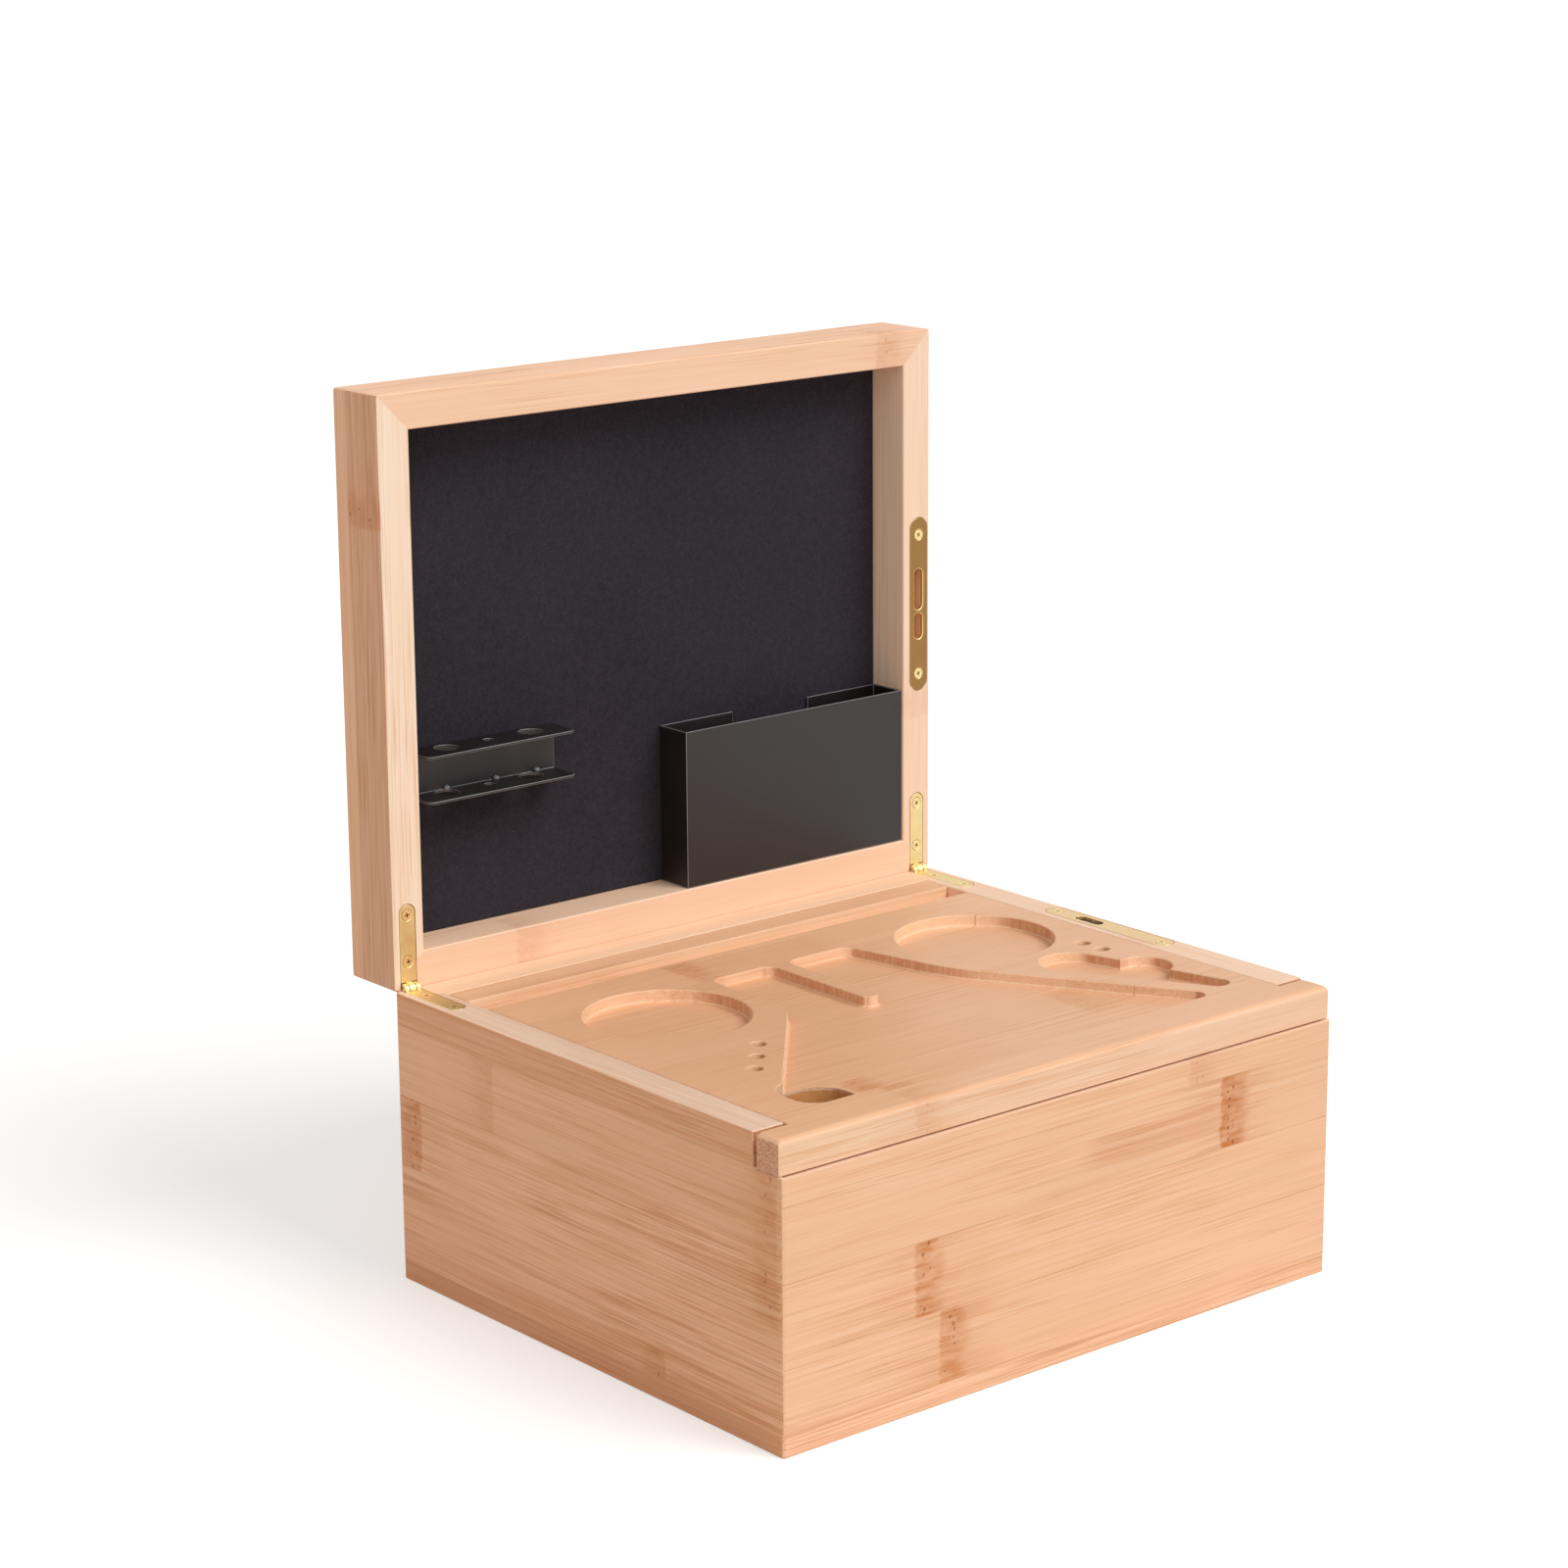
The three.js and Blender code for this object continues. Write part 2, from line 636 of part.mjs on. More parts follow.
// The shallow rolling recess: two fingers at the back that open into a funnel across the front.
function funnelOutline() {
  const x = (name) => funnelShares[name] * boxWidth;
  const y = (name) => funnelShares[name] * boxDepth;
  return roundedOutline([
    [x('spout'), y('frontEdge'), funnelSpoutCorner],
    [x('tip'), y('frontEdge'), funnelTipCorner],
    [x('bendX'), y('bendY'), funnelSideRadius],
    [x('secondFingerRight'), y('backEdge'), fingerCorner],
    [x('secondFingerLeft'), y('backEdge'), fingerCorner],
    [x('secondFingerLeft'), y('tongueTip'), tongueTipCorner],
    [x('firstFingerRight'), y('tongueTip'), tongueTipCorner],
    [x('firstFingerRight'), y('backEdge'), fingerCorner],
    [x('firstFingerLeft'), y('backEdge'), fingerCorner],
    [x('firstFingerLeft'), y('slopeStart'), funnelSlopeCorner],
    [x('spout'), y('slopeEnd'), funnelSpoutCorner],
  ]);
}

// The hole in the funnel's near corner, through which the tray empties into the base.
function pourHoleOutline() {
  const x = around(funnelShares.spout * boxWidth + pourHoleWidth / 2, pourHoleWidth);
  const y = around(funnelShares.frontEdge * boxDepth + pourHoleLength / 2, pourHoleLength);
  return roundedOutline([
    [x[0], y[0], funnelSpoutCorner],
    [x[1], y[0], pourHoleCorner],
    [x[1], y[1], pourHoleCorner],
    [x[0], y[1], pourHoleCorner],
  ]);
}

function slidingTray() {
  const top = baseHeight + overrun;
  const depths = (depth) => [baseHeight - depth, top];
  const dishes = [leftDishShare, rightDishShare].map(
    (share) => rodAlongZ(dishRadius, depths(dishDepth), ...onTray(share), dishSteps),
  );
  const pegs = [...leftPegShares, ...rightPegShares].map(
    (share) => rodAlongZ(pegHoleRadius, depths(pegHoleDepth), ...onTray(share)),
  );
  const ring = onTray(scissorRingShare);
  const tip = onTray(scissorTipShare);
  const scissors = taperedOutline(...ring, scissorRingRadius, ...tip, scissorTipRadius);
  const grooveBack = innerHalfDepth - standGrooveLand;
  const standGroove = block(
    [-halfWidth, halfWidth],
    [grooveBack - standGrooveWidth, grooveBack],
    depths(standGrooveDepth),
  );
  return cutAll(trayBlank(), [
    ...dishes,
    ...pegs,
    upright(funnelOutline(), depths(recessDepth)),
    upright(pourHoleOutline(), [trayBottom - overrun, top]),
    upright(scissors, depths(recessDepth), rodSteps),
    rodAlongZ(scissorSideRingRadius, depths(recessDepth), ...onTray(scissorSideRingShare), dishSteps),
    standGroove,
  ]);
}

// The lid: four mitred rails under a panel, with a felt lining inside. It is drawn closed.
function lidPanels() {
  const rails = mitredBoards([lidRim, lidPanelUnderside]);
  const hinges = [...hingeRoom(-1), ...hingeRoom(1)];
  const hingeHoles = [-1, 1].flatMap((side) => hingeScrewYs.map((y) => screwInLid(hingeX(side), y, screwFit)));
  const cover = roundedRectangle([-halfWidth, halfWidth], [-halfDepth, halfDepth], cornerRadius);
  const liningTop = lidPanelUnderside + glueLine - seatGap;
  const lining = block(
    around(0, innerHalfWidth * 2, -seatGap),
    around(0, innerHalfDepth * 2, -seatGap),
    [liningTop - liningThickness, liningTop],
  );
  return [
    piece('lid_front_rail', rails.front, 'bamboo'),
    piece('lid_back_rail', cutAll(rails.back, [...hinges, ...hingeHoles]), 'bamboo'),
    piece('lid_left_rail', cutAll(rails.left, [...hinges, ...hingeHoles]), 'bamboo'),
    piece('lid_right_rail', cutAll(rails.right, [...hinges, ...hingeHoles, ...strikeRoom()]), 'bamboo'),
    piece('lid_top_panel', upright(cover, [lidPanelUnderside + glueLine, lidTop]), 'bamboo'),
    piece('lid_lining', lining, 'felt'),
  ];
}

// Sheet-metal fittings on the lining, folded from one sheet each.
const fittingBack = lidPanelUnderside + glueLine - seatGap - liningThickness - seatGap;

function tubeRack() {
  const x = [-halfWidth + rackFromSide, -halfWidth + rackFromSide + rackLength];
  const y = [back - rackFromHinge - rackHeight, back - rackFromHinge];
  const z = [lidRim + rackSetback, fittingBack];
  const outline = roundedRectangle(x, [z[0], z[1] + sheetCorner * 2], sheetCorner);
  const outer = alongY(outline, y).intersect(block(x, y, z));
  const hollow = block(
    [x[0] - overrun, x[1] + overrun],
    [y[0] + sheetThickness, y[1] - sheetThickness],
    [z[0] - overrun, z[1] - sheetThickness],
  );
  const holeZ = z[1] - sheetThickness - rackHoleMargin - rackHoleRadius;
  const middle = (x[0] + x[1]) / 2;
  const holes = [-1, 0, 1].map((step) => {
    const hole = new THREE.CylinderGeometry(
      step ? rackHoleRadius : rackMiddleHoleRadius,
      step ? rackHoleRadius : rackMiddleHoleRadius,
      rackHeight + overrun * 2,
      holeSteps,
    );
    hole.translate(middle + step * rackHoleSpacing, (y[0] + y[1]) / 2, holeZ);
    return solidFrom(hole);
  });
  return cutAll(outer, [hollow, ...holes]);
}

// An open-topped pocket: the end towards the front of the lid is open, and its back has a wide notch.
function lidPocket() {
  const right = innerHalfWidth - seatGap;
  const x = [right - pocketWidth, right];
  const nearHinge = innerHalfDepth - seatGap;
  const y = [nearHinge - pocketHeight, nearHinge];
  const z = [lidRim + pocketSetback, fittingBack];
  const outer = block(x, y, z);
  const inside = block(
    [x[0] + sheetThickness, x[1] - sheetThickness],
    [y[0] - overrun, y[1] - sheetThickness],
    [z[0] + sheetThickness, z[1] - sheetThickness],
  );
  const notch = roundedRectangle(
    around((x[0] + x[1]) / 2, pocketNotchWidth),
    [y[0] - sheetCorner * 2, y[0] + pocketNotchDepth],
    sheetCorner,
  );
  return cutAll(outer, [inside, upright(notch, [z[1] - sheetThickness - overrun, z[1] + overrun])]);
}

// Putting the pieces together. Everything on the lid turns with it about the hinge pins.
const box = new THREE.Group();
const lid = new THREE.Group();
lid.position.set(0, pivotY, pivotZ);
lid.rotation.x = -lidOpenAngle;

function addToLid(mesh) {
  mesh.position.set(0, -pivotY, -pivotZ);
  lid.add(mesh);
}

box.add(...basePanels());
box.add(piece('sliding_tray', slidingTray(), 'bambooTray'));
lidPanels().forEach(addToLid);
addToLid(piece('tube_rack', tubeRack(), 'blackSteel'));
addToLid(piece('lid_pocket', lidPocket(), 'blackSteel'));

for (const [sideName, side] of [['left', -1], ['right', 1]]) {
  box.add(piece(`${sideName}_hinge_base_leaf`, hingeBaseLeaf(side), 'brass'));
  box.add(piece(`${sideName}_hinge_pin`, hingePin(side), 'brass'));
  addToLid(piece(`${sideName}_hinge_lid_leaf`, hingeLidLeaf(side), 'brass'));
  hingeScrewYs.forEach((y, i) => {
    box.add(piece(`${sideName}_hinge_base_screw_${i + 1}`, screwInBase(hingeX(side), y), 'brass'));
    addToLid(piece(`${sideName}_hinge_lid_screw_${i + 1}`, screwInLid(hingeX(side), y), 'brass'));
  });
}

box.add(piece('lock_face_plate', lockFacePlate(), 'brass'));
box.add(piece('lock_case', lockCase(), 'steel'));
box.add(piece('lock_claw', lockClaw(), 'steel'));
box.add(piece('lock_claw_pin', lockClawPin(), 'steel'));
box.add(piece('key_cylinder', keyCylinder(), 'brass'));
box.add(piece('keyhole_escutcheon', keyholeEscutcheon(), 'brass'));
addToLid(piece('strike_plate', strikePlate(), 'brass'));
plateScrewYs.forEach((y, i) => {
  box.add(piece(`lock_plate_screw_${i + 1}`, screwInBase(plateX, y), 'brass'));
  addToLid(piece(`strike_plate_screw_${i + 1}`, screwInLid(plateX, y), 'brass'));
});
box.add(lid);

export default box;
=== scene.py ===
# A laminated bamboo storage box, open, with a sliding tray, black sheet-metal fittings in the lid, brass
# hinges and a box lock. Lengths are metres unless a name says millimetres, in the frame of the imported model.
import math
import random

import bmesh
import bpy
from mathutils import Matrix, Vector


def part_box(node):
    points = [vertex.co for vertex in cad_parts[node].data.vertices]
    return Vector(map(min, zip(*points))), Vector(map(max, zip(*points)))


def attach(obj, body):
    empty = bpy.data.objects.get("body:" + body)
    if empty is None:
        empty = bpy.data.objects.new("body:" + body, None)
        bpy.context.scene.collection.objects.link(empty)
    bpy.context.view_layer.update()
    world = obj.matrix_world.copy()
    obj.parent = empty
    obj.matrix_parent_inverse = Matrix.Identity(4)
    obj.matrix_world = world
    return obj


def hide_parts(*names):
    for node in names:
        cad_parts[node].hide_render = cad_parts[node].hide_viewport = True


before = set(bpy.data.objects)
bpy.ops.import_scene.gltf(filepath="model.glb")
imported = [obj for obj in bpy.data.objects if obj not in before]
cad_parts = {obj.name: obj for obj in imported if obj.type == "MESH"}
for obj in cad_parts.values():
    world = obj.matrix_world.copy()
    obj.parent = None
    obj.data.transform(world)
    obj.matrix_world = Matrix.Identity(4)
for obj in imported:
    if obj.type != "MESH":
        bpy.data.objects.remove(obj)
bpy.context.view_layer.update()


# The studio: a white paper floor that runs out of view, an even white surround, one very broad lamp, high
# in front on the right, as the photograph has it, and a weak one on the left that fills the shadows.
# The floor and the surround show white to the camera and in gloss; the floor still takes the shadow.
FLOOR_RADIUS = 22
FLOOR_SIDES = 96
FLOOR_GLOW = 0.46
SURROUND_LIGHT = 0.42
PAPER = "#DAD8D5"
LAMPS = {
    # name: (way to the lamp, light on a surface that faces it, spread in degrees)
    "broad_lamp": (Vector((0.28, -0.60, 0.75)), 0.60, 38),
    "fill_lamp": (Vector((-0.75, -0.45, 0.48)), 0.16, 60),
}
PHOTO_PIXELS = 1600
FOCAL_PIXELS = 4038.2
SENSOR_MM = 36
VIEW_END = 4 * FLOOR_RADIUS
CAMERA_PLACE = Vector((-0.9361, -1.0739, 0.5518))
CAMERA_HEADING = math.radians(-39.899)
CAMERA_TILT = math.radians(14.107)
CAMERA_ROLL = math.radians(-0.404)


def srgb(code):
    """An sRGB hex colour as the linear colour that a shader takes."""
    shares = [int(code[i:i + 2], 16) / 255 for i in (1, 3, 5)]
    return [s / 12.92 if s <= 0.04045 else ((s + 0.055) / 1.055) ** 2.4 for s in shares] + [1]


def wire(tree, kind, inputs, output=0, **settings):
    """Adds a shader node with its settings, sets or links its inputs, which are given by name or in their
    order, and gives back one of its outputs."""
    made = tree.nodes.new("ShaderNode" + kind)
    for name, value in settings.items():
        setattr(made, name, value)
    by_place = inputs if isinstance(inputs, dict) else dict(enumerate(inputs))
    for place, value in by_place.items():
        if isinstance(value, bpy.types.NodeSocket):
            tree.links.new(value, made.inputs[place])
        else:
            made.inputs[place].default_value = value
    return made.outputs[output] if len(made.outputs) else made


def bare_material(name):
    """A new material and its node tree, still empty."""
    material = bpy.data.materials.new(name)
    material.use_nodes = True
    material.node_tree.nodes.clear()
    return material, material.node_tree


def seen_white(tree):
    """1 where the camera looks or a gloss or clear surface reflects or passes the view, and 0 elsewhere."""
    path = tree.nodes.new("ShaderNodeLightPath").outputs
    mirrored = wire(tree, "Math", (path["Is Glossy Ray"], path["Is Transmission Ray"]), operation="MAXIMUM")
    return wire(tree, "Math", (path["Is Camera Ray"], mirrored), operation="MAXIMUM")


scene = bpy.context.scene
scene.view_settings.view_transform = "Standard"

surround = bpy.data.worlds.new("white_surround")
surround.use_nodes = True
sky = surround.node_tree
sky.nodes.clear()
soft_light = wire(sky, "Background", {"Color": srgb("#FFFFFF"), "Strength": SURROUND_LIGHT})
white = wire(sky, "Background", {"Color": srgb("#FFFFFF"), "Strength": 1})
shown = wire(sky, "MixShader", (seen_white(sky), soft_light, white))
wire(sky, "OutputWorld", {"Surface": shown})
scene.world = surround

floor_mesh = bmesh.new()
bmesh.ops.create_circle(floor_mesh, cap_ends=True, segments=FLOOR_SIDES, radius=FLOOR_RADIUS)
floor_data = bpy.data.meshes.new("paper_floor")
floor_mesh.to_mesh(floor_data)
floor_mesh.free()
floor = bpy.data.objects.new("paper_floor", floor_data)
scene.collection.objects.link(floor)
paper, paper_tree = bare_material("white_paper_matt")
sheet = wire(paper_tree, "BsdfDiffuse", {"Color": srgb(PAPER)})
glow = wire(paper_tree, "Math", (seen_white(paper_tree), FLOOR_GLOW), operation="MULTIPLY")
lifted = wire(paper_tree, "Emission", {"Strength": glow})
wire(paper_tree, "OutputMaterial", {"Surface": wire(paper_tree, "AddShader", (sheet, lifted))})
floor_data.materials.append(paper)

for name, (way, light, spread_angle) in LAMPS.items():
    lamp_data = bpy.data.lights.new(name, "SUN")
    lamp_data.energy = light * math.pi
    lamp_data.angle = math.radians(spread_angle)
    lamp = bpy.data.objects.new(name, lamp_data)
    scene.collection.objects.link(lamp)
    lamp.location = way
    lamp.rotation_euler = way.to_track_quat("Z", "Y").to_euler()

backwards = Vector((
    math.sin(CAMERA_HEADING) * math.cos(CAMERA_TILT),
    -math.cos(CAMERA_HEADING) * math.cos(CAMERA_TILT),
    math.sin(CAMERA_TILT),
))
sideways = (-backwards).cross(Vector((0, 0, 1))).normalized()
upwards = sideways.cross(-backwards)
level = Matrix((sideways, upwards, backwards)).transposed().to_4x4()
camera_data = bpy.data.cameras.new("camera")
camera_data.sensor_width = SENSOR_MM
camera_data.lens = SENSOR_MM * FOCAL_PIXELS / PHOTO_PIXELS
camera_data.clip_end = VIEW_END
camera = bpy.data.objects.new("camera", camera_data)
scene.collection.objects.link(camera)
camera.matrix_world = Matrix.Translation(CAMERA_PLACE) @ level @ Matrix.Rotation(CAMERA_ROLL, 4, "Z")
scene.camera = camera


# The base: four mitred boards of laminated bamboo glued round a bottom panel. Each board is pressed from
# flat strips laid side by side, planed, its edges eased with sandpaper and clear-lacquered matt.
# Seams, rings and tones are placed by the photograph where it shows the board, and chosen alike elsewhere.
MM = 0.001
BAMBOO_GROUND = "#F8CBA6"
BAMBOO_PINK = "#F4C7AD"
# Rims and inner faces blend towards this, partly as sawn strips are paler and partly as painted light
BAMBOO_PALE_AND_LIT = "#FFECD6"
BAMBOO_SEAM = "#C08455"
BAMBOO_BUNDLE = "#C98C5C"
BAMBOO_RING = "#C26C1E"
BAMBOO_PORE = "#85481C"
BAMBOO_END_GRAIN = "#C27B50"
BAMBOO_FIBRE_SHADES = ((0.0, "#E4CDB9"), (0.3, "#F2E2D2"), (0.55, "#FAF0E5"), (1.0, "#FFFFFF"))
STRIP_MM = 27.5
SEAM_MM = 0.4
SWAY_BY_MM = 2.0
CALM_FADE_MM = (30, 0.4)
STAIN_FADE_MM = (18, 0.8)
RING_REACH_MM = 62
RING_START_MM = -5.5
RING_RISE_MM = (-6.7, -4.3)
RING_FALL_MM = (2, 13)
RING_STREAK_MM = 30
RING_RAGGED_BY_MM = 5.0

# Fibres and pores are drawn about twice as coarse as real ones, so that they show
PORE_PITCH_MM = (2.4, 2.9)
PORE_FADE_MM = (0.4275, 0.855)
PORE_ROW_AT_MM = -0.2
PORE_ROW_MM = (2.0, 2.6)
BAMBOO_FIGURES = {
    # figure: (length, width and depth of its marks in mm, shift that sets it apart, detail of its noise)
    "sway": ((130, 60, 60), 0.3, 1.0),
    "blotch": ((95, 30, 30), 9.2, 2.0),
    "coarse_fibre": ((150, 4.2, 4.2), 0.0, 2.0),
    "fibre": ((80, 1.2, 1.2), 2.1, 2.0),
    "fine_fibre": ((42, 0.6, 0.6), 4.2, 2.0),
    "patch": ((110, 14, 14), 12.4, 1.0),
    "bundle": ((40, 0.6, 0.6), 6.1, 1.0),
    "bold_fibre": ((130, 0.8, 0.8), 5.7, 1.0),
    "open_seam": ((60, 40, 40), 4.4, 2.0),
    "streak": ((60, 1.7, 1.7), 8.1, 2.0),
    "ragged": ((40, 1.6, 1.6), 6.6, 1.0),
    "ring_cloud": ((9, 3.2, 3.2), 7.7, 3.0),
    "end_speck": ((400, 0.8, 0.8), 11.0, 2.0),
    "smear": ((400, 1.2, 14), 11.6, 2.0),
}
FIGURE_ROUGHNESS = 0.55
MARK_LEVELS = {
    # mark: (level of its figure where it starts and where it is full, its share at the one and the other)
    "patch": (0.4, 0.62, 0, 1),
    "bundle": (0.56, 0.72, 0, 1),
    "bold_fibre": (0.66, 0.78, 0, 0.22),
    "open_seam": (0.42, 0.58, 0, 1),
    "streak": (0.4, 0.6, 0, 1),
    "ring_cloud": (0.38, 0.6, 0.55, 1),
    "end_speck": (0.4, 0.6, 0.45, 0.95),
    "smear": (0.35, 0.65, 0.45, 0.75),
}
BLOTCH_SHADE_LEVELS = (0.35, 0.65, 0.97, 1.025)
FIBRE_LEVELS = (0.36, 0.62, -0.64, 0.36)
FIBRE_WEIGHTS = {"coarse_fibre": 0.12, "fibre": 0.32, "fine_fibre": 0.56}

# Where a share starts to rise, and where it is full
END_FACING = (0.8, 0.97)
OUTSIDE_FACING = (0.4, 0.8)
BLOTCH_PINK_LEVELS = (0.4, 0.62)
PORE_CHANCE = (0.3, 0.34)
PORE_RING_STRENGTHS = (0.1, 0.9)

# What a value is where a share is 0, and where it is 1
STRIP_SHADES = (0.965, 1.025)
MIDDLE_FIBRE_SHADES = (0.64, 0.8)
PATCH_CONTRASTS = (0.7, 1.3)
BUNDLE_SHARES = (0.08, 0.5)
RING_STREAK_SHARES = (0.7, 1)
FIBRE_ROUGHNESSES = (0.54, 0.44)

RIM_EVENNESS = 0.75
SEAM_CORE_SHARE = 0.3
SEAM_SHARE = 0.45
STAIN_LEAST_SHARE = 0.6
RING_SHARE = 0.8
STREAK_SHARE = 0.42
STREAK_BEFORE_SHARE = 0.6
PORE_SHARE = 0.66
PORE_JITTER = 0.75
STRIP_SEED_STEP = 7.3
PORE_SEED_STEP = 3.3
SOFT = {"interpolation_type": "SMOOTHSTEP"}


def bamboo_board(name, grain, across, seam, seed, rings=(), stains=(), calm=(), routed=(), outside=None,
                 tone="#FFFFFF", pinkness=0.25, figured=1.0, rim=0.0, rim_figured=0.55, crossed=0.0):
    """Flat-pressed bamboo under matt lacquer. Pale strips of slightly different tones, fine straight fibres
    with darker bundles among them, and here and there a ring, where the cane had a knuckle: an orange-brown
    band with a few dark pores, and streaks that run out of it along the fibres.
    A ring is (place along the grain, from, to, strength) and a stain, where a strip is browner, is (from, to
    along the grain, from, to across it, strength), in millimetres of the frame. calm, where the fibres show
    less, is (from, to along the grain, from, to across it, share). Each row of routed is (colour, share, low
    corner, high corner): a box in which the walls of a cut have that colour.
    outside is the board's outer face as (axis, sign), tone a tint over the whole board, which on the left-hand
    boards is darker and paints the shade on the box's left side, and pinkness how pink its strips are. figured
    says how strongly the fibres show, rim how much paler rims and inner faces are than the outside, partly as
    sawn strips are and partly as painted light that sets the faces apart by the way they face, and rim_figured
    how the fibres' strength changes on them.
    Board ends show cut fibres as specks, which a router's bit smears down the walls of its cut. A crossed
    panel's middle layer runs across, so that its ends show long grain, browner by the share crossed."""
    material, tree = bare_material(name)

    def together(share, *others):
        for other in others:
            share = wire(tree, "Math", (share, other), operation="MULTIPLY")
        return share

    def rise_and_fall(value, rise, fall, top=1):
        """Two shares whose product marks a stretch: up to top over the rise, and down to 0 over the fall."""
        yield wire(tree, "MapRange", (value, *rise, 0, top), **SOFT)
        yield wire(tree, "MapRange", (value, *fall, 1, 0), **SOFT)

    def figure(kind):
        """Noise drawn out along the grain into marks of the kind's size."""
        sizes_mm, shift, detail = BAMBOO_FIGURES[kind]
        squeezed = [wire(tree, "Math", (place, size_mm), operation="DIVIDE")
                    for place, size_mm in zip((along, swayed, down), sizes_mm)]
        return wire(tree, "TexNoise", {
            "Vector": wire(tree, "CombineXYZ", squeezed),
            "W": seed + shift,
            "Scale": 1.0,
            "Detail": detail,
            "Roughness": FIGURE_ROUGHNESS,
        }, noise_dimensions="4D")

    def marks(kind):
        """How strongly marks of a kind show, from their figure and its levels."""
        return wire(tree, "MapRange", (figure(kind), *MARK_LEVELS[kind]), **SOFT)

    there = wire(tree, "TexCoord", {}, "Object")
    in_mm = wire(tree, "VectorMath", {0: there, "Scale": 1 / MM}, operation="SCALE")
    axes = wire(tree, "SeparateXYZ", (in_mm,)).node.outputs
    facing = wire(tree, "SeparateXYZ", (wire(tree, "TexCoord", {}, "Normal"),)).node.outputs
    deep = ({"X", "Y", "Z"} - {grain, across}).pop()
    along, over, down = axes[grain], axes[across], axes[deep]
    endwise = wire(tree, "Math", (facing[grain],), operation="ABSOLUTE")
    end_share = wire(tree, "MapRange", (endwise, *END_FACING), **SOFT)
    if crossed:
        turned = wire(tree, "Math", (end_share, 0.5), operation="GREATER_THAN")
        swaps = ((along, over), (over, down), (down, along))
        along, over, down = (wire(tree, "Mix", {0: turned, 2: own, 3: other}) for own, other in swaps)
    swayed = over
    swayed = wire(tree, "Math", (figure("sway"), SWAY_BY_MM, over), operation="MULTIPLY_ADD")

    # The ground: each strip has a tone of its own, and rims and inner faces are paler, partly as sawn strips
    # are and partly as painted light that sets a board's faces apart by the way they face
    from_seam = wire(tree, "Math", (over, seam), operation="SUBTRACT")
    strips = wire(tree, "Math", (from_seam, STRIP_MM), operation="DIVIDE")
    strip = wire(tree, "Math", (strips,), operation="FLOOR")
    own_strip = wire(tree, "Math", (strip, seed * STRIP_SEED_STEP), operation="ADD")
    chance = wire(tree, "TexWhiteNoise", {"W": own_strip}, "Color", noise_dimensions="1D")
    picks = wire(tree, "SeparateColor", (chance,)).node.outputs
    blotch = figure("blotch")
    pinker = wire(tree, "MapRange", (blotch, *BLOTCH_PINK_LEVELS), **SOFT)
    pink = together(wire(tree, "Math", (picks[0], pinker), operation="ADD"), pinkness)
    colour = wire(tree, "Mix", {0: pink, 6: srgb(BAMBOO_GROUND), 7: srgb(BAMBOO_PINK)}, 2, data_type="RGBA")
    colour = wire(tree, "VectorMath", (colour, srgb(tone)[:3]), operation="MULTIPLY")
    contrast = figured
    for start, end, low, high, share in calm:
        fade, blur = CALM_FADE_MM
        inside = together(
            *rise_and_fall(along, (start, start + fade), (end - fade, end)),
            *rise_and_fall(over, (low - blur, low + blur), (high - blur, high + blur)))
        calmed = wire(tree, "MapRange", {"Value": inside, "To Min": 1, "To Max": share}, **SOFT)
        contrast = together(calmed, contrast)
    middle_shade, rim_middle_shade = MIDDLE_FIBRE_SHADES
    # Partly painted light: every face but the outer one is blended paler, by the way it faces
    if outside:
        axis, sign = outside
        on_rim = wire(tree, "MapRange", (together(facing[axis], sign), *OUTSIDE_FACING, 1, 0), **SOFT)
        paler = {0: together(on_rim, rim), 6: colour, 7: srgb(BAMBOO_PALE_AND_LIT)}
        colour = wire(tree, "Mix", paler, 2, data_type="RGBA")
        changed = wire(tree, "MapRange", {"Value": on_rim, "To Min": 1, "To Max": rim_figured}, **SOFT)
        contrast = together(changed, contrast)
        shades = {"Value": on_rim, "To Min": middle_shade, "To Max": rim_middle_shade}
        middle_shade = wire(tree, "MapRange", shades, **SOFT)
    in_cut = 0.0
    for wall_colour, wall_share, low, high in routed:
        inside = together(on_rim, wall_share)
        for axis, from_mm, to_mm in zip("XYZ", low, high):
            middle_and_half = ((from_mm + to_mm) / 2, (to_mm - from_mm) / 2)
            inside = together(inside, wire(tree, "Math", (axes[axis], *middle_and_half), operation="COMPARE"))
        colour = wire(tree, "Mix", {0: inside, 6: colour, 7: srgb(wall_colour)}, 2, data_type="RGBA")
        in_cut = wire(tree, "Math", (in_cut, inside), operation="MAXIMUM")
    strip_shade = wire(tree, "MapRange", (picks[1], 0, 1, *STRIP_SHADES), **SOFT)
    shade = together(strip_shade, wire(tree, "MapRange", (blotch, *BLOTCH_SHADE_LEVELS), **SOFT))
    if outside:
        shade = wire(tree, "Mix", {0: together(on_rim, RIM_EVENNESS), 2: shade, 3: 1.0})
    colour = wire(tree, "VectorMath", {0: colour, "Scale": shade}, operation="SCALE")

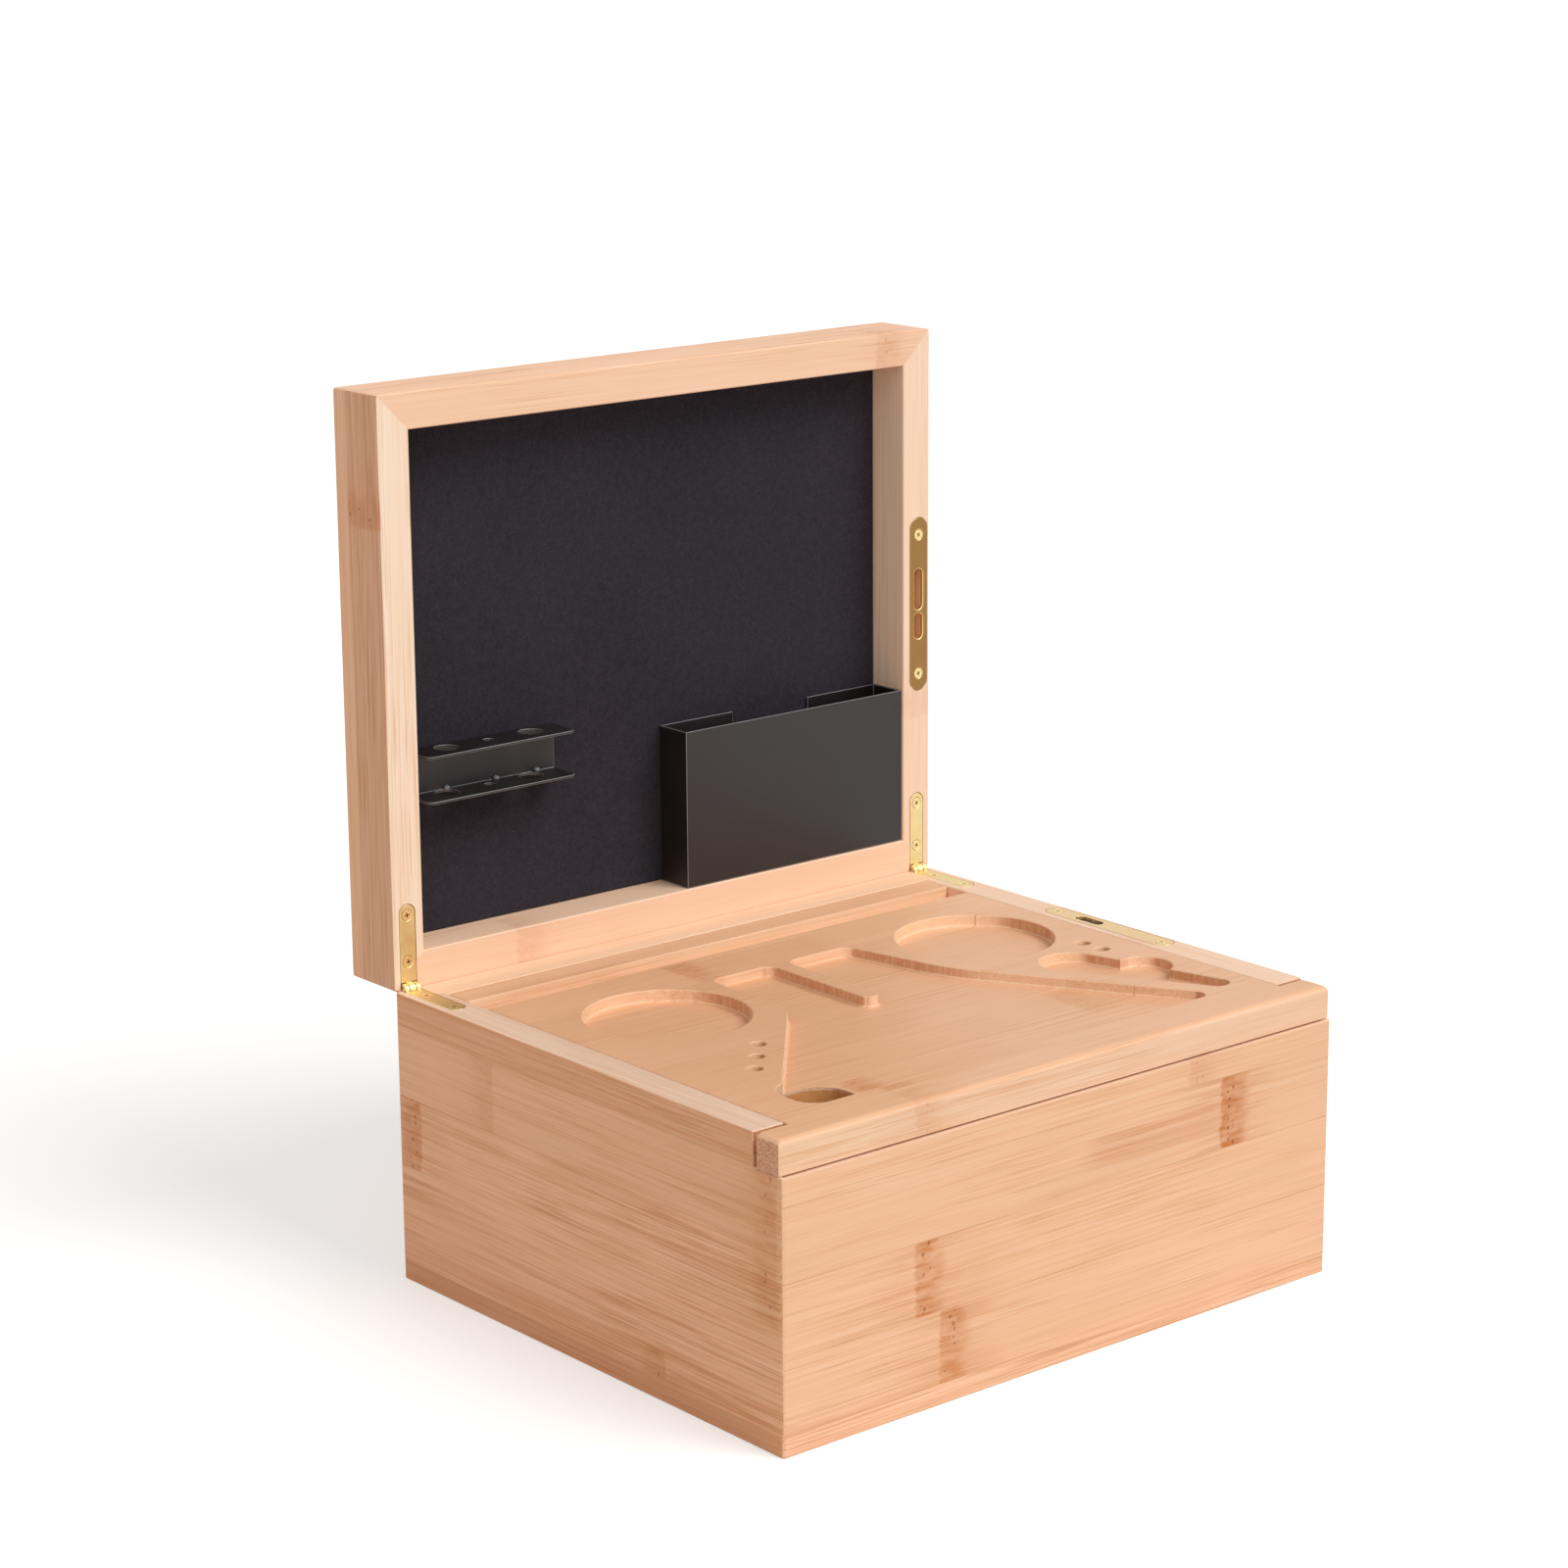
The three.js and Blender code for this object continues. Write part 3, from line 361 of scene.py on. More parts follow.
    # Fibres in three sizes, and darker bundles of them in patches
    fibres = 0.0
    for kind, weight in FIBRE_WEIGHTS.items():
        fibres = wire(tree, "Math", (figure(kind), weight, fibres), operation="MULTIPLY_ADD")
    fibres = wire(tree, "MapRange", (fibres, *FIBRE_LEVELS))
    patches = marks("patch")
    strength = together(wire(tree, "MapRange", (patches, 0, 1, *PATCH_CONTRASTS), **SOFT), contrast)
    fibres = wire(tree, "Math", (fibres, strength, middle_shade), operation="MULTIPLY_ADD")
    ramp = wire(tree, "ValToRGB", (fibres,))
    stops = ramp.node.color_ramp.elements
    for i, (at, shade_code) in enumerate(BAMBOO_FIBRE_SHADES):
        stop = stops[i] if i < len(stops) else stops.new(at)
        stop.position = at
        stop.color = srgb(shade_code)
    colour = wire(tree, "VectorMath", (colour, ramp), operation="MULTIPLY")
    in_patch = wire(tree, "MapRange", (patches, 0, 1, *BUNDLE_SHARES), **SOFT)
    bundles = together(marks("bundle"), in_patch, contrast)
    bold = together(marks("bold_fibre"), contrast)
    darker = wire(tree, "Math", (bundles, bold), operation="MAXIMUM")
    colour = wire(tree, "Mix", {0: darker, 6: colour, 7: srgb(BAMBOO_BUNDLE)}, 2, data_type="RGBA")
    to_seam = wire(tree, "Math", (from_seam, STRIP_MM / 2), operation="PINGPONG")
    seam_line = wire(tree, "MapRange", (to_seam, SEAM_MM * SEAM_CORE_SHARE, SEAM_MM, SEAM_SHARE, 0), **SOFT)
    open_seam = together(seam_line, marks("open_seam"))
    colour = wire(tree, "Mix", {0: open_seam, 6: colour, 7: srgb(BAMBOO_SEAM)}, 2, data_type="RGBA")

    # Rings and browner stretches of a strip, both streaked along the fibres
    if rings or stains:
        streaks = marks("streak")
    brown = 0.0
    for start, end, low, high, stain in stains:
        fade, blur = STAIN_FADE_MM
        inside = together(
            *rise_and_fall(along, (start, start + fade), (end - fade, end)),
            *rise_and_fall(over, (low, low + blur), (high - blur, high)))
        streaked = {"Value": streaks, "To Min": stain * STAIN_LEAST_SHARE, "To Max": stain}
        stained = together(inside, wire(tree, "MapRange", streaked, **SOFT))
        brown = wire(tree, "Math", (brown, stained), operation="MAXIMUM")
    if rings:
        ring_place, ring_strength = 0.0, 0.0
        for at, start, end, strength in rings:
            middle_and_half = ((start + end) / 2, abs(end - start) / 2)
            in_strip = wire(tree, "Math", (over, *middle_and_half), operation="COMPARE")
            near = together(in_strip, wire(tree, "Math", (along, at, RING_REACH_MM), operation="COMPARE"))
            ring_place = wire(tree, "Math", (near, at, ring_place), operation="MULTIPLY_ADD")
            ring_strength = wire(tree, "Math", (near, strength, ring_strength), operation="MULTIPLY_ADD")
        ragged = wire(tree, "Math", (figure("ragged"), 0.5), operation="SUBTRACT")
        from_ring = wire(tree, "Math", (along, ring_place), operation="SUBTRACT")
        off_ring = wire(tree, "Math", (from_ring, together(ragged, RING_RAGGED_BY_MM)), operation="ADD")
        streaked = wire(tree, "MapRange", (streaks, 0, 1, *RING_STREAK_SHARES), **SOFT)
        band = together(*rise_and_fall(off_ring, RING_RISE_MM, RING_FALL_MM), marks("ring_cloud"), streaked)
        after = together(*rise_and_fall(off_ring, (RING_START_MM, 0), (0, RING_STREAK_MM)))
        before_rise, before_fall = (-RING_STREAK_MM, RING_START_MM), (RING_START_MM, 0)
        before = together(*rise_and_fall(off_ring, before_rise, before_fall, STREAK_BEFORE_SHARE))
        run_out = together(wire(tree, "Math", (after, before), operation="MAXIMUM"), streaks, STREAK_SHARE)
        ring = wire(tree, "Math", (together(band, RING_SHARE), run_out), operation="MAXIMUM")
        brown = wire(tree, "Math", (brown, together(ring, ring_strength)), operation="MAXIMUM")
    colour = wire(tree, "Mix", {0: brown, 6: colour, 7: srgb(BAMBOO_RING)}, 2, data_type="RGBA")

    # Pores: dark dots in an uneven row along the middle of each ring, some of them left out
    height = fibres
    if rings:
        along_mm, over_mm = PORE_PITCH_MM
        tiles = [wire(tree, "Math", (place, pitch_mm), operation="DIVIDE")
                 for place, pitch_mm in ((along, along_mm), (over, over_mm), (down, over_mm))]
        tiles[2] = wire(tree, "Math", (tiles[2], seed * PORE_SEED_STEP), operation="ADD")
        tiled = {"Vector": wire(tree, "CombineXYZ", tiles), "Scale": 1.0, "Randomness": PORE_JITTER}
        cell = wire(tree, "TexVoronoi", tiled).node.outputs
        dot = wire(tree, "MapRange", (together(cell["Distance"], along_mm), *PORE_FADE_MM, 1, 0), **SOFT)
        off_row = wire(tree, "Math", (off_ring, PORE_ROW_AT_MM), operation="SUBTRACT")
        off_row = wire(tree, "Math", (off_row,), operation="ABSOLUTE")
        in_row = wire(tree, "MapRange", (off_row, *PORE_ROW_MM, 1, 0), **SOFT)
        in_ring = wire(tree, "MapRange", (ring_strength, *PORE_RING_STRENGTHS), **SOFT)
        pick = wire(tree, "SeparateColor", (cell["Color"],))
        chosen = wire(tree, "MapRange", (pick, *PORE_CHANCE), **SOFT)
        pores = together(dot, in_row, in_ring, chosen)
        dark = {0: together(pores, PORE_SHARE), 6: colour, 7: srgb(BAMBOO_PORE)}
        colour = wire(tree, "Mix", dark, 2, data_type="RGBA")
        height = wire(tree, "Math", (fibres, pores), operation="SUBTRACT")

    # The board's ends
    if crossed:
        end_marks, end_colour = crossed, srgb(BAMBOO_RING)
    else:
        end_marks, end_colour = marks("end_speck"), srgb(BAMBOO_END_GRAIN)
        if routed:
            end_marks = wire(tree, "Mix", {0: in_cut, 2: end_marks, 3: marks("smear")})
    ends = {0: together(end_share, end_marks), 6: colour, 7: end_colour}
    colour = wire(tree, "Mix", ends, 2, data_type="RGBA")

    shader = wire(tree, "BsdfPrincipled", {
        "Base Color": colour,
        "Roughness": wire(tree, "MapRange", (fibres, 0, 1, *FIBRE_ROUGHNESSES), **SOFT),
        "IOR": 1.5,
        "Specular IOR Level": 0.36,
        "Normal": wire(tree, "Bump", {"Strength": 0.25, "Distance": 0.12 * MM, "Height": height}),
    })
    wire(tree, "OutputMaterial", {"Surface": shader})
    return material


WELD = 0.05 * MM
FLAT_ANGLE = math.radians(0.5)
CREASE_ANGLE = math.radians(30)
EASED_EDGE = 0.6 * MM
EASED_STEPS = 3


def eased(node, body, material, edge=EASED_EDGE, steps=EASED_STEPS, keep=None, fit=None, rim=None):
    """The solid of a node as a new mesh: flat faces joined, round ones shaded smooth, and its edges rounded.
    keep says by how much less than the rest an edge is rounded, 1 where it stays sharp. fit moves vertices
    first. rim is the finish of the rounded edges, where it isn't that of the faces."""
    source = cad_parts[node]
    work = bmesh.new()
    work.from_mesh(source.data)
    bmesh.ops.remove_doubles(work, verts=work.verts, dist=WELD)
    bmesh.ops.dissolve_limit(work, angle_limit=FLAT_ANGLE, verts=work.verts, edges=work.edges)
    weight = work.edges.layers.float.new("bevel_weight_edge")
    for face in work.faces:
        face.smooth = True
    for line in work.edges:
        creased = len(line.link_faces) != 2 or line.calc_face_angle(0) > CREASE_ANGLE
        line.smooth = not creased
        line[weight] = 1.0 - (keep(line) if keep else 0.0) if creased else 0.0
    if fit:
        fit(work)
    data = bpy.data.meshes.new(node + "_finished")
    work.to_mesh(data)
    work.free()
    data.materials.append(material)
    piece = bpy.data.objects.new(node + "_finished", data)
    scene.collection.objects.link(piece)
    rounding = piece.modifiers.new("eased_edges", "BEVEL")
    rounding.limit_method = "WEIGHT"
    rounding.width = edge
    rounding.segments = steps
    rounding.use_clamp_overlap = False
    rounding.loop_slide = False
    shading = piece.modifiers.new("flat_faces_stay_flat", "WEIGHTED_NORMAL")
    shading.weight = 100
    shading.keep_sharp = True
    if rim:
        data.materials.append(rim)
        rounding.material = 1
    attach(piece, body)
    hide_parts(node)
    return piece


GLUE_LINE = 0.2 * MM
SAME_PLACE = 0.01 * MM
MITRE_FACING = 0.6
BRASS_LET_IN = (
    "left_hinge_base_leaf", "left_hinge_lid_leaf", "right_hinge_base_leaf", "right_hinge_lid_leaf",
    "lock_face_plate", "strike_plate",
)
POCKET_ROOM = 0.5 * MM
pockets = [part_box(brass) for brass in BRASS_LET_IN]


def is_mitre(face):
    """Whether a face lies aslant, as only the mitres do: its normal has two parts of about 0.7."""
    return sorted(abs(part) for part in face.normal)[1] > MITRE_FACING


def in_pocket(line):
    """Whether an edge belongs to a pocket that is cut for a brass leaf or plate."""
    return any(
        all(low[i] - POCKET_ROOM < end.co[i] < high[i] + POCKET_ROOM for end in line.verts for i in range(3))
        for low, high in pockets)


def glued_edges(axis, places, corner=None):
    """Says which edges stay sharp: those of the mitres and of the pockets for brass, those in a glued or
    closing plane across the given axis, and those that run through a given corner along X, where the lid
    bears on the base."""
    i = "XYZ".index(axis)

    def keep(line):
        if in_pocket(line) or any(is_mitre(face) for face in line.link_faces):
            return True
        if any(all(abs(end.co[i] - place) < SAME_PLACE for end in line.verts) for place in places):
            return True
        return corner is not None and all((end.co - corner).yz.length < SAME_PLACE for end in line.verts)
    return keep


def glue_up(grain, moves=()):
    """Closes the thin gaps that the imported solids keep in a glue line: mitre faces move along the grain until
    they meet, and each (axis, place, step) moves the vertices that lie in that plane."""
    along = "XYZ".index(grain)

    def fit(work):
        slides = {}
        for face in work.faces:
            if is_mitre(face):
                step = math.copysign(GLUE_LINE / math.sqrt(2), face.normal[along])
                slides.update({end: step for end in face.verts})
        for axis, place, step in moves:
            i = "XYZ".index(axis)
            for end in work.verts:
                if abs(end.co[i] - place) < SAME_PLACE:
                    end.co[i] += step
        for end, step in slides.items():
            end.co[along] += step
    return fit


BASE_BOARDS = {
    "base_front_panel": dict(
        grain="X", across="Z", seam=8, seed=1.0, outside=("Y", -1), figured=0.62, rim=0.6,
        rings=((-69.5, 35.5, 63, 0.95), (-58, 8, 35.5, 0.85), (81.5, 63, 90.5, 1.15), (65, 90.5, 118, 0.4)),
        stains=((0, 88, 69.5, 82, 0.26), (-100, -30, 36, 62, 0.12), (88, 108, 63, 80, 0.16),
                (-75, 110, 62.4, 63.2, 0.25), (-95, 20, 69.2, 70.0, 0.25)),
        calm=((60, 170, 0, 140, 0.65),)),
    "base_left_panel": dict(
        # The darker tone paints the shade on the box's left side
        grain="Y", across="Z", seam=19, seed=2.0, outside=("X", -1), tone="#F9ECE1", figured=1.35, rim=0.9,
        rings=((57, 74, 101.5, 0.4), (104, 46.5, 74, 0.95), (-105, 46.5, 101.5, 0.6), (-43, 9, 19, 1.0)),
        stains=((-160, 160, 101.2, 130, 0.3), (-160, 160, 8, 19, 0.2), (-60, 30, 69, 74, 0.2),
                (-150, -45, 46.5, 60, 0.12)),
        calm=((-160, 160, 74, 101.2, 0.5),)),
    "base_back_panel": dict(
        grain="X", across="Z", seam=14, seed=3.0, outside=("Y", 1), figured=0.8, rim=0.3,
        rings=((40, 14, 41.5, 0.7), (-88, 41.5, 69, 0.6), (96, 69, 96.5, 0.4)),
        stains=((-40, 60, 50, 58, 0.2),)),
    "base_right_panel": dict(
        grain="Y", across="Z", seam=19, seed=4.0, outside=("X", 1), tone="#FFFAF4", figured=0.9, rim=0.4,
        rings=((-60, 19, 46.5, 0.7), (52, 46.5, 74, 0.5), (-20, 101.5, 129, 0.3)),
        stains=((-40, 90, 54, 64, 0.2),)),
}
BOTTOM_RINGS = ((60, -33.5, -6, 0.7), (-75, 21.5, 49, 0.6), (20, -111, -88.5, 0.5))
SHADOW_GAP = 0.5 * MM
TRAY_GROOVE = (102.7 * MM, 108.3 * MM)
bottom_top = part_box("base_bottom_panel")[1].z
bottom_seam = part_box("base_front_panel")[0].z
front_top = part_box("base_front_panel")[1].z
back_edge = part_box("base_back_panel")[1]
for board, facts in BASE_BOARDS.items():
    wood = bamboo_board(board.replace("base_", "lacquered_bamboo_"), **facts)
    sharp_planes, moves = [bottom_seam], [("Z", bottom_seam, -GLUE_LINE)]
    if board in ("base_left_panel", "base_right_panel"):
        sharp_planes += TRAY_GROOVE
    if board == "base_front_panel":
        sharp_planes.append(front_top)
        moves.append(("Z", front_top, -SHADOW_GAP))
    keep = glued_edges("Z", sharp_planes, back_edge if board == "base_back_panel" else None)
    eased(board, "base", wood, keep=keep, fit=glue_up(facts["grain"], moves))
bottom_wood = bamboo_board(
    "lacquered_bamboo_bottom_panel", "X", "Y", seam=-6, seed=5.0, rings=BOTTOM_RINGS, crossed=0.55)
eased("base_bottom_panel", "base", bottom_wood, keep=glued_edges("Z", (bottom_top,)))


# The sliding tray: one bamboo board with a bar across its front. Round-nosed bits rout its pockets, whose
# walls end in a small cove at their floor, and sanding leaves their edges soft. The pockets show the same
# strips a little lower down. The bar's lower edges, which close on the front board, stay crisp.
TRAY_CUTS = (
    # (colour of the cut's walls, share, low corner, high corner): the pockets, then the holes below them, whose
    # walls are darker as painted shade in their depth
    ("#FFDDBA", 0.8, (-140, -96, 108.5), (140, 120, 120)),
    ("#E6A86C", 1.0, (-140, -96, 90), (140, 120, 108.5)),
)
TRAY_RINGS = ((-35, 47, 74.5, 0.7), (-67, -96, -68, 0.65), (-68, -112, -98, 0.35), (60, -68, -40, 0.4))
TRAY_STAINS = (
    (-160, 10, -96, 74.2, 0.1), (-130, -50, -40.4, -13, 0.1), (-110, -20, 14.5, 42, 0.14),
    (-90, 40, 42, 69.4, 0.16), (-60, 30, -68, -40.6, 0.1), (-120, -40, 74, 90, 0.2),
)
TRAY_COVE = 1.1 * MM
TRAY_COVE_STEPS = 4
TRAY_EDGE_SHARE = 0.42
TRAY_RECESS_DEPTH = 4.4 * MM
BAR_FOOT_ROOM = 1 * MM
tray_wood = bamboo_board(
    "lacquered_bamboo_tray", "X", "Y", seam=-8, seed=6.0, rings=TRAY_RINGS, stains=TRAY_STAINS,
    routed=TRAY_CUTS, outside=("Z", 1), tone="#F9F6F1", pinkness=0.3, figured=0.42, rim=0.22, rim_figured=1.9)
recess_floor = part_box("sliding_tray")[1].z - TRAY_RECESS_DEPTH


def tray_edges(line):
    """How much less than the coves the tray's other edges are rounded. The bar's lower edges, about level
    with the front board's top, stay sharp, and so do those where two cuts meet at the recess floor."""
    if all(abs(end.co.z - front_top) < BAR_FOOT_ROOM for end in line.verts):
        return 1
    if line.is_convex and any(abs(end.co.z - recess_floor) < SAME_PLACE for end in line.verts):
        return 1
    return 1 - TRAY_EDGE_SHARE if line.is_convex else 0


eased("sliding_tray", "tray", tray_wood, edge=TRAY_COVE, steps=TRAY_COVE_STEPS, keep=tray_edges)


# The lid: four mitred rails under a top panel, of the same bamboo as the base. The open lid stands square
# to the rim, so that its rails run up and its panel faces back. Its back rail bears on the base's back edge.
# The right-hand rail has a mortise behind the strike plate, for the claw.
LID_REST = 0.3 * MM
MORTISE_COLOUR = "#E9C592"
MORTISE_SHARE = 0.9
MORTISE_INSET_MM = 0.8
MORTISE_OVERLAP_MM = 0.3
MORTISE_DEPTH_MM = 20
LID_PANEL_RINGS = ((70, 185, 212.5, 0.7), (-60, 240, 267.5, 0.6), (-20, 130, 157.5, 0.5))
strike_low, strike_high = (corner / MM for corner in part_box("strike_plate"))
mortise_low = (strike_low.x + MORTISE_INSET_MM, strike_high.y - MORTISE_OVERLAP_MM, strike_low.z)
mortise_high = (strike_high.x - MORTISE_INSET_MM, strike_high.y + MORTISE_DEPTH_MM, strike_high.z)
LID_RAILS = {
    "lid_front_rail": dict(
        grain="X", across="Y", seam=128, seed=7.0, outside=("Z", 1), figured=0.8, rim=0.2,
        rings=((112, 110, 128, 0.4), (-60, 128, 140, 0.3))),
    "lid_back_rail": dict(
        grain="X", across="Y", seam=128, seed=8.0, outside=("Z", -1), figured=0.7, rim=0.35,
        rings=((-72, 110, 128, 0.3),)),
    "lid_left_rail": dict(
        # The darker tone paints the shade on the box's left side
        grain="Z", across="Y", seam=138, seed=9.0, outside=("X", -1), tone="#E5D9D0", figured=1.35, rim=0.88,
        rings=((295, 113.4, 138, 0.75),)),
    "lid_right_rail": dict(
        grain="Z", across="Y", seam=131, seed=10.0, outside=("X", 1), figured=0.7, rim=0.6,
        rings=((185, 110, 131, 0.25),),
        routed=((MORTISE_COLOUR, MORTISE_SHARE, mortise_low, mortise_high),)),
}
panel_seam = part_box("lid_left_rail")[1].y
panel_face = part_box("lid_top_panel")[0].y
lid_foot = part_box("lid_back_rail")[0]
to_the_base = ("Z", lid_foot.z, -LID_REST)
for board, facts in LID_RAILS.items():
    wood = bamboo_board(board.replace("lid_", "lacquered_bamboo_lid_"), **facts)
    keep = glued_edges("Y", (panel_seam,), lid_foot if board == "lid_back_rail" else None)
    fit = glue_up(facts["grain"], [("Y", panel_seam, GLUE_LINE), to_the_base])
    eased(board, "lid", wood, keep=keep, fit=fit)
lid_panel_wood = bamboo_board(
    "lacquered_bamboo_lid_top_panel", "X", "Z", seam=130, seed=11.0, rings=LID_PANEL_RINGS, crossed=0.2)
eased("lid_top_panel", "lid", lid_panel_wood, keep=glued_edges("Y", (panel_face,)),
      fit=glue_up("X", [to_the_base]))


# The lining: a sheet of flocked card, cut to size and glued to the inside of the lid's panel. The pile's
# fibres are far too fine to show, so it is drawn in tufts of 0.8 mm and 2.6 mm.
FLOCK_COLOURS = ("#211D24", "#38333B")
FLOCK_LINT = "#5E5962"
FLOCK_MOTTLE = (
    # (size in mm, weight): the pile, its tufts, and broad clouds
    (0.8, 0.5), (2.6, 0.25), (60, 0.25),
)
LINT_PITCH_MM = 12
LINT_FADE_MM = (0.15, 0.3)
LINT_SHARE = 0.7
LINING_EDGE = 0.4 * MM


def flocked_card(name):
    """Card with short black fibres glued upright: almost no gloss, a faint bloom at low angles, and a
    mottle where the pile leans, with a few specks of grey lint."""
    material, tree = bare_material(name)
    there = wire(tree, "TexCoord", {}, "Object")
    leaning, pile = 0.0, None
    for size_mm, weight in FLOCK_MOTTLE:
        mottle = wire(tree, "TexNoise", {"Vector": there, "Scale": 1 / (size_mm * MM), "Detail": 2.0})
        leaning = wire(tree, "Math", (mottle, weight, leaning), operation="MULTIPLY_ADD")
        pile = pile or mottle
    share = wire(tree, "MapRange", {"Value": leaning, "From Min": 0.3, "From Max": 0.7})
    dark, light = (srgb(code) for code in FLOCK_COLOURS)
    colour = wire(tree, "Mix", {0: share, 6: dark, 7: light}, 2, data_type="RGBA")
    lint = wire(tree, "TexVoronoi", {"Vector": there, "Scale": 1 / (LINT_PITCH_MM * MM)})
    near, far = (fade_mm / LINT_PITCH_MM for fade_mm in LINT_FADE_MM)
    specks = wire(tree, "MapRange", (lint, near, far, LINT_SHARE, 0))
    colour = wire(tree, "Mix", {0: specks, 6: colour, 7: srgb(FLOCK_LINT)}, 2, data_type="RGBA")
    shader = wire(tree, "BsdfPrincipled", {
        "Base Color": colour,
        "Roughness": 0.95,
        "IOR": 1.45,
        "Specular IOR Level": 0.2,
        "Sheen Weight": 0.04,
        "Normal": wire(tree, "Bump", {"Strength": 0.5, "Distance": 0.2 * MM, "Height": pile}),
    })
    wire(tree, "OutputMaterial", {"Surface": shader})
    return material


eased("lid_lining", "lid", flocked_card("black_flocked_card"), edge=LINING_EDGE)


# The tube rack and the pocket: folded from 1 mm steel sheet, powder-coated black and fixed flat against the
# lining. Their rounded edges are drawn in a lighter grey, partly as the coat is worn thin there and partly as a
# painted highlight where they catch the light. The coat's orange peel is drawn at 0.7 mm, somewhat coarser
# than real, so that it shows.
COAT_COLOURS = ("#140E0F", "#1D1415")
COAT_EDGE_WEAR_AND_HIGHLIGHT_COLOURS = ("#6C696C", "#858388")
COAT_ROUGHNESS_SWING = 0.05
COAT_PEEL_MM = 0.7
COAT_RUB_MM = 30
FITTING_EDGE = 0.22 * MM


def black_coated_steel(name, colours, roughness):
    """Steel sheet under a satin powder coat: near-black, with a soft gloss and the fine orange-peel of
    the melted powder."""
    material, tree = bare_material(name)
    there = wire(tree, "TexCoord", {}, "Object")
    peel = wire(tree, "TexNoise", {"Vector": there, "Scale": 1 / (COAT_PEEL_MM * MM), "Detail": 2.0})
    rubbed = wire(tree, "TexNoise", {"Vector": there, "Scale": 1 / (COAT_RUB_MM * MM), "Detail": 3.0})
    dark, light = (srgb(code) for code in colours)
    shader = wire(tree, "BsdfPrincipled", {
        "Base Color": wire(tree, "Mix", {0: rubbed, 6: dark, 7: light}, 2, data_type="RGBA"),
        "Roughness": wire(tree, "MapRange", {
            "Value": rubbed, "From Min": 0.35, "From Max": 0.65,
            "To Min": roughness - COAT_ROUGHNESS_SWING, "To Max": roughness + COAT_ROUGHNESS_SWING}),
        "IOR": 1.55,
        "Normal": wire(tree, "Bump", {"Strength": 0.12, "Distance": 0.05 * MM, "Height": peel}),
    })
    wire(tree, "OutputMaterial", {"Surface": shader})
    return material


coated = black_coated_steel("black_powder_coated_steel", COAT_COLOURS, roughness=0.42)
# Lighter grey for the rounded edges: partly worn coat, partly a painted highlight
coated_edge_wear_and_highlight = black_coated_steel("black_coat_worn_and_painted_highlight_on_edges", COAT_EDGE_WEAR_AND_HIGHLIGHT_COLOURS, roughness=0.3)
for fitting in ("tube_rack", "lid_pocket"):
    eased(fitting, "lid", coated, edge=FITTING_EDGE, rim=coated_edge_wear_and_highlight)

# Beside each hole a small dart is pressed into the rack's lower bend, which stiffens the fold.
SHEET = 1 * MM
RACK_HOLE_SPACING = 19.8 * MM
DARTS_FROM_HOLES = (3.1 * MM, 6.5 * MM, 6.1 * MM)
DART_REACH = 1.5 * MM
DART_RADIUS = 1.3 * MM
DART_TIP_SHARE = 0.12
DART_FULLNESS = 0.7
DART_HEIGHT_SHARE = 0.3
DART_ROOT = SHEET / 3
DART_STEPS = 10
rack_low, rack_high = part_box("tube_rack")
web_face, flange_face = rack_high.y - SHEET, rack_low.z + SHEET
darts = bmesh.new()
for step, from_hole in enumerate(DARTS_FROM_HOLES, -1):
    middle = (rack_low.x + rack_high.x) / 2 + step * RACK_HOLE_SPACING + from_hole
    sections = []
    for i in range(DART_STEPS + 1):
        way = i / DART_STEPS
        radius = DART_RADIUS * max(DART_TIP_SHARE, math.sin(math.pi * way) ** DART_FULLNESS)
        y, z = web_face - DART_REACH * way, flange_face + DART_REACH * (1 - way)
        foot = (web_face + DART_ROOT, z) if way < 0.5 else (y, flange_face - DART_ROOT)
        section = [darts.verts.new((middle - radius, *foot)), darts.verts.new((middle + radius, *foot))]
        for k in range(DART_STEPS + 1):
            turn = math.pi * k / DART_STEPS
            out = radius * math.sin(turn) * DART_HEIGHT_SHARE
            section.append(darts.verts.new((middle + radius * math.cos(turn), y - out, z + out)))
        sections.append(section)
    for near, far in zip(sections, sections[1:]):
        for k in range(len(near)):
            darts.faces.new((near[k - 1], near[k], far[k], far[k - 1]))
    darts.faces.new(sections[0][::-1])
    darts.faces.new(sections[-1])
bmesh.ops.recalc_face_normals(darts, faces=darts.faces)
for face in darts.faces:
    face.smooth = True
dart_data = bpy.data.meshes.new("rack_bend_darts")
darts.to_mesh(dart_data)
darts.free()
# The darts are all in the lighter edge grey, which paints their glints as a highlight
dart_data.materials.append(coated_edge_wear_and_highlight)
rack_darts = bpy.data.objects.new("rack_bend_darts", dart_data)
scene.collection.objects.link(rack_darts)
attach(rack_darts, "lid")


# The hinges: stamped brass leaves let flush into the boards, knuckled round a brass pin at the box's top
# back edge, each held by two small countersunk brass screws with cross recesses.
HINGE_BRASS = ("#E0C486", "#EEDAA6")
SCREW_BRASS = ("#F0D090", "#F8E0AA")
# Dark brass for the faces of the cross recesses: painted shade inside them
RECESS_SHADE_BRASS = ("#6E4C20", "#845E2C")
BRASS_RUB_MM = 4
BRASS_ROUGHNESS_SWINGS = (-0.04, 0.05)
LEAF_EDGE = 0.12 * MM
PIN_EDGE = 0.3 * MM
SCREW_EDGE = 0.15 * MM
RECESS_LENGTH = 2.9 * MM
RECESS_WIDTH = 0.55 * MM
RECESS_DEPTH = 0.7 * MM
RECESS_FLOOR_SHARE = 0.45
turn_chance = random.Random(4)


